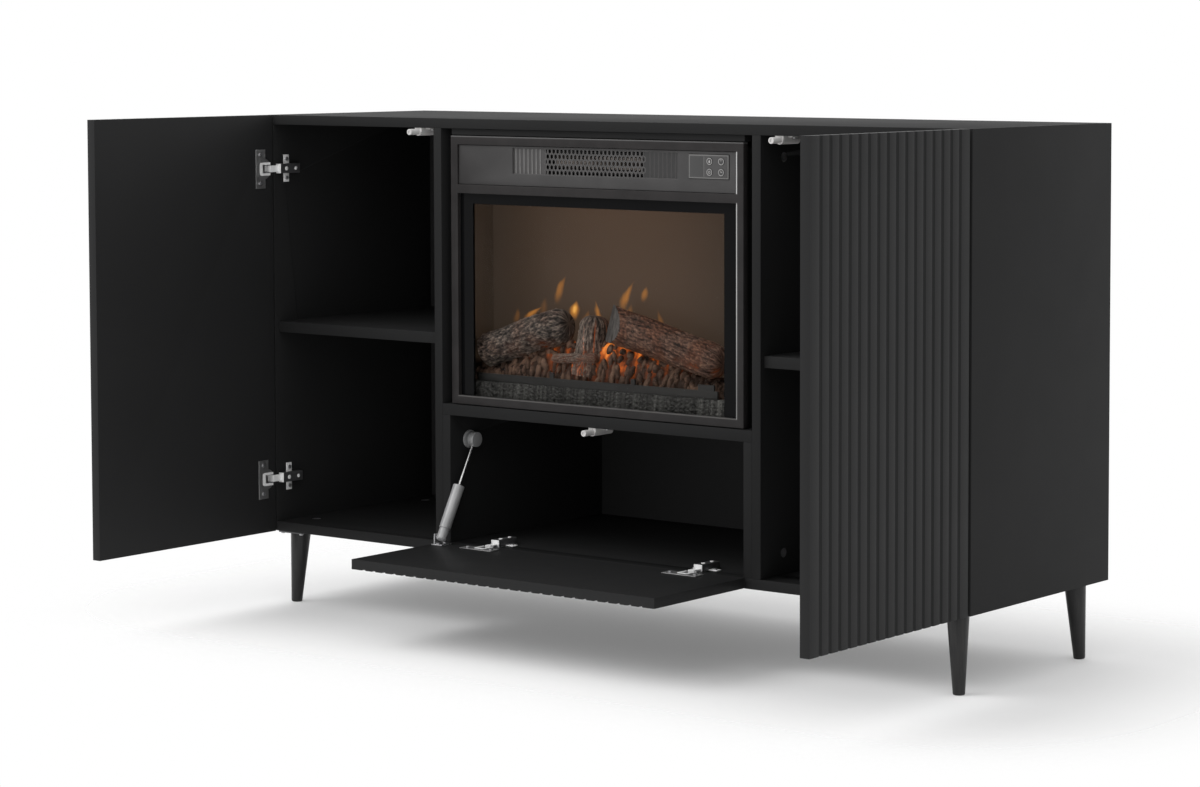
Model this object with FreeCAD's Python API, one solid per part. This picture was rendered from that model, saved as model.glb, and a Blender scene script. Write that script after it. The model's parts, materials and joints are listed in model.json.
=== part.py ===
import FreeCAD, Part
import math
import os

V = FreeCAD.Vector
os.makedirs("parts", exist_ok=True)

# Frame: X to the right, -Y to the front, Z up from the floor, all in millimetres.
# The doors stand open at a right angle and the flap lies level at rest.

# Carcass
WIDTH = 1400.0
DEPTH = 395.0
BODY_HEIGHT = 702.0
BOARD = 16.0
SHELF_BOARD = 18.0
BACK_BOARD = 4.0
BACK_SEAM = 1.0
CABLE_HOLE = 60.0
VENT_WIDTH = 320.0
VENT_HEIGHT = 120.0
INSERT_SHELF_TOP = 241.0
SIDE_SHELF_TOP = 354.5
SHELF_SETBACK = 8.0
SHELF_SIDE_GAP = 0.8
SHELF_BACK_GAP = 2.0
RAIL_DEPTH = 16.0
RAIL_SETBACK = 6.0
RAIL_GAP = 1.0
RAIL_HEIGHT = 10.5

# Legs
LEG_HEIGHT = 122.0
LEG_TOP_D = 34.0
LEG_FOOT_D = 18.0
LEG_INSET_X = 41.0
LEG_INSET_Y = 31.0
LEG_SPLAY = 5.5
LEG_PLATE = 52.0
LEG_PLATE_T = 3.0
LEG_SCREW_SPACING = 42.0

# Doors and flap
EDGE_REVEAL = 1.5
DOOR_GAP = 3.5
OPEN_GAP = 3.0
FRONT_SEAM = 2.5
FLAP_SIDE_LAP = 6.0
FLAP_TOP_LAP = 1.0
OPEN_ANGLE = 90.0
GROOVE_W = 7.5
GROOVE_D = 2.6
GROOVE_MARGIN = 25.5
DOOR_PITCH = 23.0
FLAP_PITCH = 21.2

# Concealed hinges
HINGE_END = 90.0
FLAP_HINGE_END = 96.0
CUP_BORE_D = 35.0
CUP_BORE_DEPTH = 12.0
CUP_EDGE = 3.5
CUP_FIT = 0.1
CUP_WALL = 0.6
FLANGE_LENGTH = 65.0
FLANGE_WIDTH = 22.0
FLANGE_T = 1.2
FLANGE_OFFSET = 8.0
CUP_SCREW_SPACING = 48.0
PIN_D = 2.3
PIN_FIT = 0.05
EYE_D = 4.6
ARM_T = 2.5
ARM_WIDTH = 9.0
ARM_WIDE = 11.0
ARM_NECK = 3.6
ARM_FACE_GAP = 1.0
LUG_T = 2.0
LUG_GAP = 0.4
PLATE_T = 2.0
PLATE_WIDTH = 12.0
PLATE_LENGTH = 46.0
PLATE_FRONT = 22.0
PLATE_SCREW_SPACING = 32.0
HOUSING_FRONT = 5.0
HOUSING_LENGTH = 46.0
HOUSING_HEIGHT = 9.0
HOUSING_WIDTH = 16.0

# Push latches
LATCH_FROM_DIVIDER = 34.0
LATCH_HEIGHT = 13.0
LATCH_WIDTH = 14.0
LATCH_LENGTH = 45.0
LATCH_SETBACK = 1.0
LATCH_WING = 9.0
LATCH_WING_T = 2.5
LATCH_WING_LENGTH = 24.0
PLUNGER_D = 9.6
PLUNGER_FIT = 0.2
PLUNGER_OUT = 20.5
PLUNGER_IN = 21.0
PLUNGER_TIP_D = 6.0
PLUNGER_TIP_DEPTH = 1.5
PLUNGER_TRAVEL = 17.3

# Gas strut on the left of the flap
STRUT_WALL_GAP = 12.0
STRUT_TOP_Y = 46.0
STRUT_TOP_DROP = 43.0
STRUT_FOOT_Y = -36.0
STRUT_FOOT_RISE = 11.5
STRUT_D = 18.6
STRUT_ROD_D = 4.2
STRUT_ROD_FIT = 0.15
STRUT_BODY_LENGTH = 74.0
STRUT_CAP = 16.0
STRUT_CAP_LOW = 5.0
STRUT_CAP_D = 16.0
STRUT_CAP_ROUND = 4.0
STRUT_STUD_REACH = 6.0
ROD_END_D = 24.0
ROD_END_NECK = 3.0
ROD_END_NECK_D = 14.0
STRUT_PIN_D = 4.0
STRUT_STROKE = 20.0
WALL_DISC_D = 29.0
WALL_DISC_T = 3.5
WALL_DISC_EDGE = 1.5
STRUT_RUN_GAP = 0.5
BRACKET_T = 2.0
BRACKET_LENGTH = 24.0
BRACKET_WIDTH = 22.0
BRACKET_EAR_D = 12.0

# Fireplace insert
INSERT_W = 584.0
INSERT_DEPTH = 180.0
INSERT_SIDE_GAP = 2.0
INSERT_RECESS = 3.0
INSERT_FOOT = 1.5
FRAME_T = 12.0
FRAME_EDGE = 14.0
SHEET = 1.5
CASING_INSET = 6.0
GLASS_T = 4.0
GLASS_LAP = 5.0
CLAMP_LAP = 3.0
BAR_H = 64.0
BAR_RECESS = 3.0
BAR_GAP = 0.3
GRILLE_GAP = 22.5
GRILLE_H = 41.0
GRILLE_T = 2.0
GRILLE_RISE = 8.0
GRILLE_LAP = 2.5
MESH_PITCH = 7.0
MESH_HOLE = 4.6
LOUVRE_COUNT = 7
LOUVRE_BANK = 61.5
LOUVRE_SLOT = 4.6
LOUVRE_END = 3.0
PANEL_W = 76.0
PANEL_H = 37.0
PANEL_T = 3.0
PANEL_PROUD = 1.0
PANEL_EDGE = 15.0
BUTTON_D = 11.0
BUTTON_FIT = 0.3
BUTTON_PROUD = 0.8
BUTTON_PITCH_X = 22.0
BUTTON_PITCH_Z = 16.5
BUTTON_SHIFT = 13.0
BOARD_STANDOFF = 4.0
CIRCUIT_T = 1.6
SWITCH_GAP = 1.3
SWITCH_D = 4.0
STANDOFF_D = 5.0
CIRCUIT_INSET = 4.0
DUCT_DEPTH = 72.0
ELEMENT_D = 5.0
ELEMENT_COUNT = 5
ELEMENT_PITCH = 8.0
AIR_SLOT_MARGIN = 40.0
AIR_SLOT_W = 24.0
AIR_SLOT_H = 28.0
AIR_SLOT_PITCH = 30.0
REAR_SLOTS = 7
REAR_SLOT_H = 2.4
REAR_SLOT_PITCH = 5.0
BEARING_LENGTH = 12.0
WHEEL_D = 36.0
WHEEL_END_GAP = 15.5
WHEEL_BLADES = 12
BLADE_T = 1.2
BLADE_W = 5.0
WHEEL_RIM_T = 2.0
SHAFT_D = 6.0
SHAFT_FIT = 0.05
MOTOR_D = 34.0
MOTOR_LENGTH = 32.0
SCREEN_T = 3.0
SCREEN_Y = 95.0
BED_DEPTH = 74.0
BED_GAP = 3.0
BED_FRONT_H = 34.0
BED_LEDGE = 15.0
BED_STEP_H = 54.0
BED_CREST_H = 66.0
MOUND_FRONT = 25.0
MOUND_BACK = 56.0
LEFT_LOG_EDGE = 16.5
RIGHT_LOG_EDGE = 70.0
GRATE_LEFT_END = 23.5
GRATE_RIGHT_END = 57.5
GRATE_T = 4.0
GRATE_GAP = 2.0
GRATE_LIFT = 2.0
GRATE_BAR_H = 13.5
GRATE_POST_RISE = 9.0
GRATE_POST_W = 8.0
GRATE_CLIP_W = 31.0
GRATE_CLIP_END = 6.5
ROTOR_Y = 132.0
ROTOR_Z = 70.0
ROTOR_D = 44.0
ROTOR_END_GAP = 32.5
ROTOR_FLAGS = 9
FLAG_T = 1.0
LED_END = 54.5
LED_W = 12.0
LED_H = 10.0
INLET_W = 28.0
INLET_H = 20.0
INLET_EDGE = 76.0
INLET_Z = 40.0
INLET_DEPTH = 14.0
INLET_RIM = 5.0
INLET_RIM_T = 2.0
INLET_WALL = 3.0
INLET_BLADE_PITCH = 7.0

# Fasteners
SCREW_D = 3.0
SCREW_HEAD_D = 6.5
SCREW_HEAD_T = 2.0
SCREW_LENGTH = 11.0
SCREW_FIT = 0.1
CAM_D = 15.0
CAM_DEPTH = 12.0
CAM_FROM_JOINT = 34.0
CAM_FIT = 0.1
CAM_FRONT = 60.0
CAM_BOLT_D = 6.0
CAM_BOLT_BITE = 10.0
PIN_SHELF_D = 5.0
PIN_SHELF_BITE = 8.0
PIN_SHELF_REACH = 9.0
PIN_SHELF_FROM_EDGE = 50.0

# Places worked out from the sizes
half = WIDTH / 2
base = LEG_HEIGHT
crown = base + BODY_HEIGHT
side_in = half - BOARD
inner_in = INSERT_W / 2 + INSERT_SIDE_GAP
divider_in = inner_in + BOARD
divider_out = divider_in + BOARD
floor_top = base + BOARD
roof = crown - BOARD
flap_half = inner_in + FLAP_SIDE_LAP
flap_hinge_x = flap_half - FLAP_HINGE_END
door_w = half - EDGE_REVEAL - flap_half - FRONT_SEAM
shelf_top = base + INSERT_SHELF_TOP
shelf_under = shelf_top - SHELF_BOARD
flap_h = shelf_under + FLAP_TOP_LAP - base - EDGE_REVEAL
pivot_x = (EDGE_REVEAL + DOOR_GAP + BOARD - OPEN_GAP) / 2
pivot_y = -OPEN_GAP - pivot_x
door_reach = OPEN_GAP + EDGE_REVEAL + door_w
front = (door_reach - DEPTH) / 2
back = front + DEPTH
back_in = back - BACK_BOARD
frame_y = front + INSERT_RECESS
frame_back = frame_y + FRAME_T
insert_z = shelf_top + INSERT_FOOT
insert_top = roof - RAIL_HEIGHT - RAIL_GAP

written = []


def box(x0, x1, y0, y1, z0, z1):
    return Part.makeBox(x1 - x0, y1 - y0, z1 - z0, V(x0, y0, z0))


def bar(radius, start, end):
    run = end - start
    return Part.makeCylinder(radius, run.Length, start, run)


def join(solids):
    return solids[0].multiFuse(solids[1:]).removeSplitter()


def mirrored(shape):
    return shape.mirror(V(0, 0, 0), V(1, 0, 0))


def prism(points, lift):
    """A flat outline through the points, pushed along the lift vector."""
    return Part.Face(Part.makePolygon(points + points[:1])).extrude(lift)


def save(node, solids):
    shape = solids[0] if len(solids) == 1 else Part.makeCompound(solids)
    shape.exportStep("parts/" + node + ".step")
    written.append(node)


# Screws: each stands at a seat point and bites along a direction

def screw(seat, bite):
    shank = bar(SCREW_D / 2, seat, seat + bite * SCREW_LENGTH)
    head = bar(SCREW_HEAD_D / 2, seat - bite * SCREW_HEAD_T, seat)
    slot_half = SCREW_HEAD_D / 4
    across = bite.cross(V(0.36, 0.48, 0.8)).normalize()
    along = bite.cross(across).normalize()
    slot_top = seat - bite * SCREW_HEAD_T
    cross_slot = []
    for a, b in ((across, along), (along, across)):
        corners = [slot_top + a * slot_half * i + b * SCREW_HEAD_D / 16 * j
                   for i, j in ((-1, -1), (1, -1), (1, 1), (-1, 1))]
        cross_slot.append(prism(corners, bite * (SCREW_HEAD_T / 2)))
    return join([shank, head]).cut(cross_slot)


def screw_hole(seat, bite):
    return bar(SCREW_D / 2 + SCREW_FIT, seat - bite, seat + bite * (SCREW_LENGTH + SCREW_FIT))


# Concealed hinge, in its own frame: x from the panel's outer face towards the door's free edge,
# y from the carcass's front plane, z along the pin. The door is closed in this frame.

door_face = -DOOR_GAP
cup_x = EDGE_REVEAL + CUP_EDGE + CUP_BORE_D / 2
cup_r = CUP_BORE_D / 2 - CUP_FIT
cup_floor = door_face - CUP_BORE_DEPTH + CUP_FIT
flange_x = cup_x + FLANGE_OFFSET
arm_leg_x = pivot_x + (door_face - pivot_y) + ARM_FACE_GAP
housing_x = BOARD + PLATE_T
plate_y = PLATE_FRONT + PLATE_WIDTH / 2
Y = V(0, 1, 0)
Z = V(0, 0, 1)


def hinge_cup():
    shell = bar(cup_r, V(cup_x, cup_floor, 0), V(cup_x, door_face, 0))
    flange = box(flange_x - FLANGE_WIDTH / 2, flange_x + FLANGE_WIDTH / 2,
                 door_face, door_face + FLANGE_T, -FLANGE_LENGTH / 2, FLANGE_LENGTH / 2)
    hollow = bar(cup_r - CUP_WALL, V(cup_x, cup_floor + CUP_WALL, 0), V(cup_x, door_face + 2 * FLANGE_T, 0))
    cup = join([shell, flange]).cut(hollow)
    lug_in = ARM_WIDTH / 2 + LUG_GAP
    keep = bar(cup_r, V(cup_x, cup_floor, 0), V(cup_x, door_face, 0))
    for side in (-1, 1):
        near, far = sorted((side * lug_in, side * (lug_in + LUG_T)))
        lug = box(pivot_x - EYE_D / 2, pivot_x + EYE_D / 2, cup_floor, pivot_y + EYE_D / 2, near, far)
        cup = cup.fuse(lug.common(keep))
    pin_hole = bar(PIN_D / 2 + PIN_FIT, V(pivot_x, pivot_y, -pin_half()), V(pivot_x, pivot_y, pin_half()))
    holes = [screw_hole(seat, bite) for seat, bite in cup_screw_places()]
    return cup.removeSplitter().cut([pin_hole] + holes)


def pin_half():
    return ARM_WIDTH / 2 + LUG_GAP + LUG_T


def hinge_pin():
    return bar(PIN_D / 2, V(pivot_x, pivot_y, -pin_half()), V(pivot_x, pivot_y, pin_half()))


def hinge_arm():
    low, high = -ARM_WIDTH / 2, ARM_WIDTH / 2
    eye = bar(EYE_D / 2, V(pivot_x, pivot_y, low), V(pivot_x, pivot_y, high))
    wide = ARM_WIDE / 2
    shoulder = pivot_x + ARM_NECK
    under, over = pivot_y - ARM_T / 2, pivot_y + ARM_T / 2
    neck = box(pivot_x, shoulder, under, over, low, high)
    foot = box(shoulder, arm_leg_x + ARM_T, under, over, -wide, wide)
    leg = box(arm_leg_x, arm_leg_x + ARM_T, under, HOUSING_FRONT, -wide, wide)
    pin_hole = bar(PIN_D / 2 + PIN_FIT, V(pivot_x, pivot_y, 2 * low), V(pivot_x, pivot_y, 2 * high))
    return join([eye, neck, foot, leg]).cut(pin_hole)


def hinge_plate():
    wings = box(BOARD, housing_x, PLATE_FRONT, PLATE_FRONT + PLATE_WIDTH, -PLATE_LENGTH / 2, PLATE_LENGTH / 2)
    housing = box(BOARD, housing_x + HOUSING_HEIGHT, HOUSING_FRONT, HOUSING_FRONT + HOUSING_LENGTH,
                  -HOUSING_WIDTH / 2, HOUSING_WIDTH / 2)
    holes = [screw_hole(seat, bite) for seat, bite in plate_screw_places()]
    return join([wings, housing]).cut(holes)


def cup_screw_places():
    seat_y = door_face + FLANGE_T
    return [(V(flange_x, seat_y, s * CUP_SCREW_SPACING / 2), V(0, -1, 0)) for s in (-1, 1)]


def plate_screw_places():
    return [(V(housing_x, plate_y, s * PLATE_SCREW_SPACING / 2), V(-1, 0, 0)) for s in (-1, 1)]


def door_bore():
    return bar(CUP_BORE_D / 2, V(cup_x, door_face - CUP_BORE_DEPTH, 0), V(cup_x, door_face + 1, 0))


LEFT_HINGES = [FreeCAD.Placement(V(-half, front, base + z), FreeCAD.Rotation())
               for z in (HINGE_END, BODY_HEIGHT - HINGE_END)]
FLAP_HINGES = [FreeCAD.Placement(V(x, front, base), FreeCAD.Rotation(V(0, 1, 0), -90))
               for x in (-flap_hinge_x, flap_hinge_x)]


def placed(shape, spot):
    copy = shape.copy()
    copy.Placement = spot.multiply(copy.Placement)
    return copy


def at_left(shape):
    return [placed(shape, spot) for spot in LEFT_HINGES]


def at_right(shape):
    return [mirrored(solid) for solid in at_left(shape)]


def at_flap(shape):
    return [placed(shape, spot) for spot in FLAP_HINGES]


# Opening: the closed pieces are turned about their pins to the rest pose

left_axis = V(-half + pivot_x, front + pivot_y, base)
flap_axis = V(0, front + pivot_y, base + pivot_x)


def open_left(shape):
    turned = shape.copy()
    turned.rotate(left_axis, Z, -OPEN_ANGLE)
    return turned


def open_flap(shape):
    turned = shape.copy()
    turned.rotate(flap_axis, V(1, 0, 0), OPEN_ANGLE)
    return turned


def fluted_panel(width, pitch, x0, lift):
    """Board with round-bottomed grooves on its outer face, drawn in plan and pushed along lift."""
    inner = front - DOOR_GAP
    outer = inner - BOARD
    count = int((width - 2 * GROOVE_MARGIN) / pitch + 0.5)
    step = (width - 2 * GROOVE_MARGIN) / count
    edges = []
    last = V(x0, outer, 0)
    for i in range(count + 1):
        middle = x0 + GROOVE_MARGIN + i * step
        enter = V(middle - GROOVE_W / 2, outer, 0)
        leave = V(middle + GROOVE_W / 2, outer, 0)
        edges.append(Part.LineSegment(last, enter).toShape())
        edges.append(Part.Arc(enter, V(middle, outer + GROOVE_D, 0), leave).toShape())
        last = leave
    corners = [last, V(x0 + width, outer, 0), V(x0 + width, inner, 0), V(x0, inner, 0), V(x0, outer, 0)]
    for a, b in zip(corners, corners[1:]):
        edges.append(Part.LineSegment(a, b).toShape())
    return Part.Face(Part.Wire(edges)).extrude(lift)


# Cam fasteners: a disc in one board's face and a bolt through the joint into the other board

cam_discs = []
cam_bolts = []
cam_cuts = {"top": [], "bottom": [], "side": [], "divider": []}


def cam(face_point, sink, to_joint, board, mate):
    deep = face_point + sink * CAM_DEPTH
    cam_discs.append(bar(CAM_D / 2 - CAM_FIT, face_point, deep - sink * CAM_FIT))
    cam_cuts[board].append(bar(CAM_D / 2, face_point - sink, deep))
    line = face_point + sink * (BOARD / 2)
    start = line + to_joint * (CAM_D / 2)
    end = line + to_joint * (CAM_FROM_JOINT + CAM_BOLT_BITE)
    cam_bolts.append(bar(CAM_BOLT_D / 2 - CAM_FIT, start, end - to_joint * CAM_FIT))
    hole = bar(CAM_BOLT_D / 2, line, end)
    cam_cuts[board].append(hole)
    cam_cuts[mate].append(hole)


def place_cams():
    for y in (front + CAM_FRONT, back - CAM_FRONT):
        for s in (-1, 1):
            outward = V(s, 0, 0)
            end_x = s * (side_in - CAM_FROM_JOINT)
            cam(V(end_x, y, roof), Z, outward, "top", "side")
            cam(V(end_x, y, floor_top), -Z, outward, "bottom", "side")
            cam(V(s * divider_out, y, roof - CAM_FROM_JOINT), -outward, Z, "divider", "top")
            cam(V(s * divider_out, y, floor_top + CAM_FROM_JOINT), -outward, -Z, "divider", "bottom")


# Shelf pins: a round peg in the panel and a flat paddle under the shelf

shelf_z = base + SIDE_SHELF_TOP
shelf_low = shelf_z - SHELF_BOARD


def shelf_pin_pair(wall_x, toward, y):
    """Peg and its hole in a wall whose face is at wall_x; the bay lies the way toward points."""
    middle = V(wall_x, y, shelf_low - PIN_SHELF_D / 2)
    run = V(toward, 0, 0)
    bite = PIN_SHELF_BITE - SCREW_FIT
    peg = bar(PIN_SHELF_D / 2 - SCREW_FIT, middle - run * bite, middle + run * PIN_SHELF_REACH)
    x0, x1 = sorted((wall_x, wall_x + toward * PIN_SHELF_REACH))
    paddle = box(x0, x1, y - PIN_SHELF_D, y + PIN_SHELF_D, shelf_low - PIN_SHELF_D / 2, shelf_low)
    hole = bar(PIN_SHELF_D / 2, middle - run * PIN_SHELF_BITE, middle + run)
    return join([peg, paddle]), hole


# Carcass boards

def carcass(body_screw_holes):
    place_cams()
    pins, side_pin_holes, divider_pin_holes = [], [], []
    shelf_front = front + SHELF_SETBACK
    shelf_back = back_in - SHELF_BACK_GAP
    for y in (shelf_front + PIN_SHELF_FROM_EDGE, shelf_back - PIN_SHELF_FROM_EDGE):
        for wall, toward, holes in ((-side_in, 1, side_pin_holes), (-divider_out, -1, divider_pin_holes)):
            pin, hole = shelf_pin_pair(wall, toward, y)
            pins += [pin, mirrored(pin)]
            holes.append(hole)

    left_cuts = side_pin_holes + body_screw_holes["left_side"]
    side = box(-half, -side_in, front, back, base, crown)
    left_side = side.cut(left_cuts + cam_cuts["side"])
    save("left_side_panel", [left_side])
    save("right_side_panel", [mirrored(left_side)])

    divider = box(-divider_out, -divider_in, front, back_in, floor_top, roof)
    left_divider = divider.cut(divider_pin_holes + cam_cuts["divider"])
    save("left_divider", [left_divider])
    save("right_divider", [mirrored(left_divider)])

    inner = box(-divider_in, -inner_in, front, back_in, floor_top, shelf_under)
    save("left_inner_panel", [inner.cut(body_screw_holes["inner"])])
    save("right_inner_panel", [mirrored(inner)])

    top = box(-side_in, side_in, front, back, roof, crown)
    save("top_panel", [top.cut(cam_cuts["top"] + body_screw_holes["top"])])
    bottom = box(-side_in, side_in, front, back_in, base, floor_top)
    save("bottom_panel", [bottom.cut(cam_cuts["bottom"] + body_screw_holes["bottom"])])
    insert_shelf = box(-divider_in, divider_in, front, back_in, shelf_under, shelf_top)
    save("insert_shelf", [insert_shelf.cut(body_screw_holes["shelf"])])
    rail_y = front + RAIL_SETBACK
    rail_low = insert_top + RAIL_GAP
    save("filler_rail", [box(-INSERT_W / 2, INSERT_W / 2, rail_y, rail_y + RAIL_DEPTH, rail_low, roof)])

    shelf = box(-side_in + SHELF_SIDE_GAP, -divider_out - SHELF_SIDE_GAP,
                shelf_front, shelf_back, shelf_low, shelf_z)
    save("left_shelf", [shelf])
    save("right_shelf", [mirrored(shelf)])
    save("shelf_pins", pins)
    save("cam_fittings", cam_discs + cam_bolts)
    back_panels()


def back_panels():
    seam = (divider_in + divider_out) / 2
    side_back = box(-side_in, -seam - BACK_SEAM / 2, back_in, back, base, roof)
    cable_x = -(side_in + divider_out) / 2
    holes = []
    for z in (shelf_z + 2 * CABLE_HOLE, floor_top + 2 * CABLE_HOLE):
        holes.append(bar(CABLE_HOLE / 2, V(cable_x, back_in - 1, z), V(cable_x, back + 1, z)))
    side_back = side_back.cut(holes)
    middle = box(-seam + BACK_SEAM / 2, seam - BACK_SEAM / 2, back_in, back, base, roof)
    bay_z = (floor_top + shelf_under) / 2
    bay_x = inner_in / 2
    bay_hole = bar(CABLE_HOLE / 2, V(bay_x, back_in - 1, bay_z), V(bay_x, back + 1, bay_z))
    vent_z = insert_z + INLET_Z
    vent = box(inlet_x - VENT_WIDTH / 2, inlet_x + VENT_WIDTH / 4, back_in - 1, back + 1,
               vent_z - VENT_HEIGHT / 4, vent_z + 3 * VENT_HEIGHT / 4)
    save("back_panels", [side_back, middle.cut([bay_hole, vent]), mirrored(side_back)])


# Legs, splayed outwards along both axes, with plates that hold them to the bottom panel

def legs():
    leg_top = base - LEG_PLATE_T
    foot = V(half - LEG_INSET_X + LEG_SPLAY, 0, 0)
    top = V(half - LEG_INSET_X, 0, leg_top)
    slab = box(0, WIDTH, front - DEPTH, back + DEPTH, 0, leg_top)
    pairs, plates, seats = [], [], []
    for y_top, sign in ((front + LEG_INSET_Y, -1), (back - LEG_INSET_Y, 1)):
        a = top + V(0, y_top, 0)
        b = foot + V(0, y_top + sign * LEG_SPLAY, 0)
        run = b - a
        more = run * 0.1
        taper = (LEG_FOOT_D - LEG_TOP_D) / 2 * 0.1
        length = (run + more * 2).Length
        cone = Part.makeCone(LEG_TOP_D / 2 - taper, LEG_FOOT_D / 2 + taper, length, a - more, run)
        leg = cone.common(slab)
        pairs.append([mirrored(leg), leg])
        grip = LEG_PLATE / 2
        spot = LEG_SCREW_SPACING / 2
        plate = box(a.x - grip, a.x + grip, y_top - grip, y_top + grip, leg_top, base)
        for i in (-1, 1):
            for j in (-1, 1):
                seats.append(V(a.x + i * spot, y_top + j * spot, leg_top))
        plates.append(plate)
    holes = [screw_hole(seat, Z) for seat in seats]
    plates = [plate.cut(holes) for plate in plates]
    save("front_legs", pairs[0])
    save("rear_legs", pairs[1])
    save("leg_plates", plates + [mirrored(plate) for plate in plates])
    return seats


# Push latches: housing with two fixing wings, and a sprung plunger with a hollow tip

def latch(x, under):
    y0 = front + LATCH_SETBACK
    y1 = y0 + LATCH_LENGTH
    z = under - LATCH_HEIGHT / 2
    block = box(x - LATCH_WIDTH / 2, x + LATCH_WIDTH / 2, y0, y1, z, under)
    barrel = bar(LATCH_HEIGHT / 2, V(x, y0, z), V(x, y1, z))
    wing_y = (y0 + y1) / 2
    wing = box(x - LATCH_WIDTH / 2 - LATCH_WING, x + LATCH_WIDTH / 2 + LATCH_WING,
               wing_y - LATCH_WING_LENGTH / 2, wing_y + LATCH_WING_LENGTH / 2, under - LATCH_WING_T, under)
    seats = [V(x + s * (LATCH_WIDTH + LATCH_WING) / 2, wing_y, under - LATCH_WING_T) for s in (-1, 1)]
    bore_end = y0 + PLUNGER_IN + PLUNGER_TRAVEL + PLUNGER_FIT
    bore = bar(PLUNGER_D / 2 + PLUNGER_FIT, V(x, y0 - 1, z), V(x, bore_end, z))
    housing = join([block, barrel, wing]).cut([bore] + [screw_hole(seat, Z) for seat in seats])
    tip = V(x, front - PLUNGER_OUT, z)
    plunger = bar(PLUNGER_D / 2, tip, V(x, y0 + PLUNGER_IN, z))
    plunger = plunger.cut(bar(PLUNGER_TIP_D / 2, tip - Y, tip + Y * PLUNGER_TIP_DEPTH))
    return housing, plunger, seats


def latches():
    x = divider_out + LATCH_FROM_DIVIDER
    left, right, low = latch(-x, roof), latch(x, roof), latch(0, shelf_under)
    save("latch_housings", [left[0], right[0], low[0]])
    save("left_latch_plunger", [left[1]])
    save("right_latch_plunger", [right[1]])
    save("flap_latch_plunger", [low[1]])
    return left[2] + right[2], low[2]


# Gas strut: rod end beside a disc on the inner panel, cylinder cap on a bracket of the flap

strut_x = -inner_in + STRUT_WALL_GAP
flap_face = base + EDGE_REVEAL + BOARD
strut_top = V(strut_x, front + STRUT_TOP_Y, shelf_under - STRUT_TOP_DROP)
strut_foot = V(strut_x, front + STRUT_FOOT_Y, flap_face + STRUT_FOOT_RISE)


def strut():
    run = strut_top - strut_foot
    way = V(run).normalize()
    X = V(1, 0, 0)
    reach = X * STRUT_STUD_REACH

    def along(distance):
        return strut_foot + way * distance

    body_end = STRUT_CAP + STRUT_BODY_LENGTH
    cap_low = along(-STRUT_CAP_LOW)
    cap = bar(STRUT_CAP_D / 2, cap_low, along(STRUT_CAP))
    rim = [edge for edge in cap.Edges if (edge.CenterOfMass - cap_low).Length < STRUT_CAP_LOW / 2]
    cap = cap.makeFillet(STRUT_CAP_ROUND, rim)
    body = bar(STRUT_D / 2, along(STRUT_CAP), along(body_end))
    rod_in = body_end - 2 * STRUT_STROKE
    bore = bar(STRUT_ROD_D / 2 + STRUT_ROD_FIT, along(rod_in - STRUT_STROKE - 1), along(body_end + 1))
    pin_end = strut_foot + reach + X * STRUT_RUN_GAP
    pin_hole = bar(STRUT_PIN_D / 2 + PIN_FIT, strut_foot - X * STRUT_CAP_D, pin_end)
    save("strut_cylinder", [join([cap, body]).cut([bore, pin_hole])])

    disc_face = -inner_in + WALL_DISC_T
    end_near = V(disc_face + STRUT_RUN_GAP, strut_top.y, strut_top.z)
    end_step = end_near + X * ROD_END_NECK
    end_neck = bar(ROD_END_NECK_D / 2, end_near, end_step)
    end_cap = bar(ROD_END_D / 2, end_step, strut_top + reach)
    rod = bar(STRUT_ROD_D / 2, along(rod_in), strut_top)
    save("strut_rod", [join([rod, end_neck, end_cap])])

    wall = V(-inner_in, strut_top.y, strut_top.z)
    sunk = V(disc_face - SCREW_HEAD_T, strut_top.y, strut_top.z)
    screw_out = (WALL_DISC_D - SCREW_HEAD_D) / 2 - WALL_DISC_EDGE
    screw_seats = [sunk + Z * s * screw_out for s in (-1, 1)]
    disc = bar(WALL_DISC_D / 2, wall, wall + X * WALL_DISC_T)
    sinks = [bar(SCREW_HEAD_D / 2 + SCREW_FIT, seat, seat + X * WALL_DISC_T) for seat in screw_seats]
    save("strut_wall_bracket", [disc.cut(sinks + [screw_hole(seat, -X) for seat in screw_seats])])

    upright_x = -inner_in + STRUT_RUN_GAP
    y0 = strut_foot.y - BRACKET_LENGTH / 2
    y1 = strut_foot.y + BRACKET_LENGTH / 2
    foot_plate = box(upright_x, upright_x + BRACKET_WIDTH, y0, y1, flap_face, flap_face + BRACKET_T)
    end_r = BRACKET_EAR_D / 2
    upright = box(upright_x, upright_x + BRACKET_T, strut_foot.y - end_r, strut_foot.y + end_r,
                  flap_face, strut_foot.z + end_r)
    stud = bar(STRUT_PIN_D / 2, V(upright_x, strut_foot.y, strut_foot.z), strut_foot + reach)
    seats = [V(upright_x + BRACKET_WIDTH / 2, y, flap_face + BRACKET_T)
             for y in (y0 + SCREW_HEAD_D / 2 + 1, y1 - SCREW_HEAD_D / 2 - 1)]
    flap_bracket = join([foot_plate, upright, stud]).cut([screw_hole(seat, -Z) for seat in seats])
    save("strut_flap_bracket", [flap_bracket])
    return screw_seats, seats


# Doors and flap with their hinges

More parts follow.
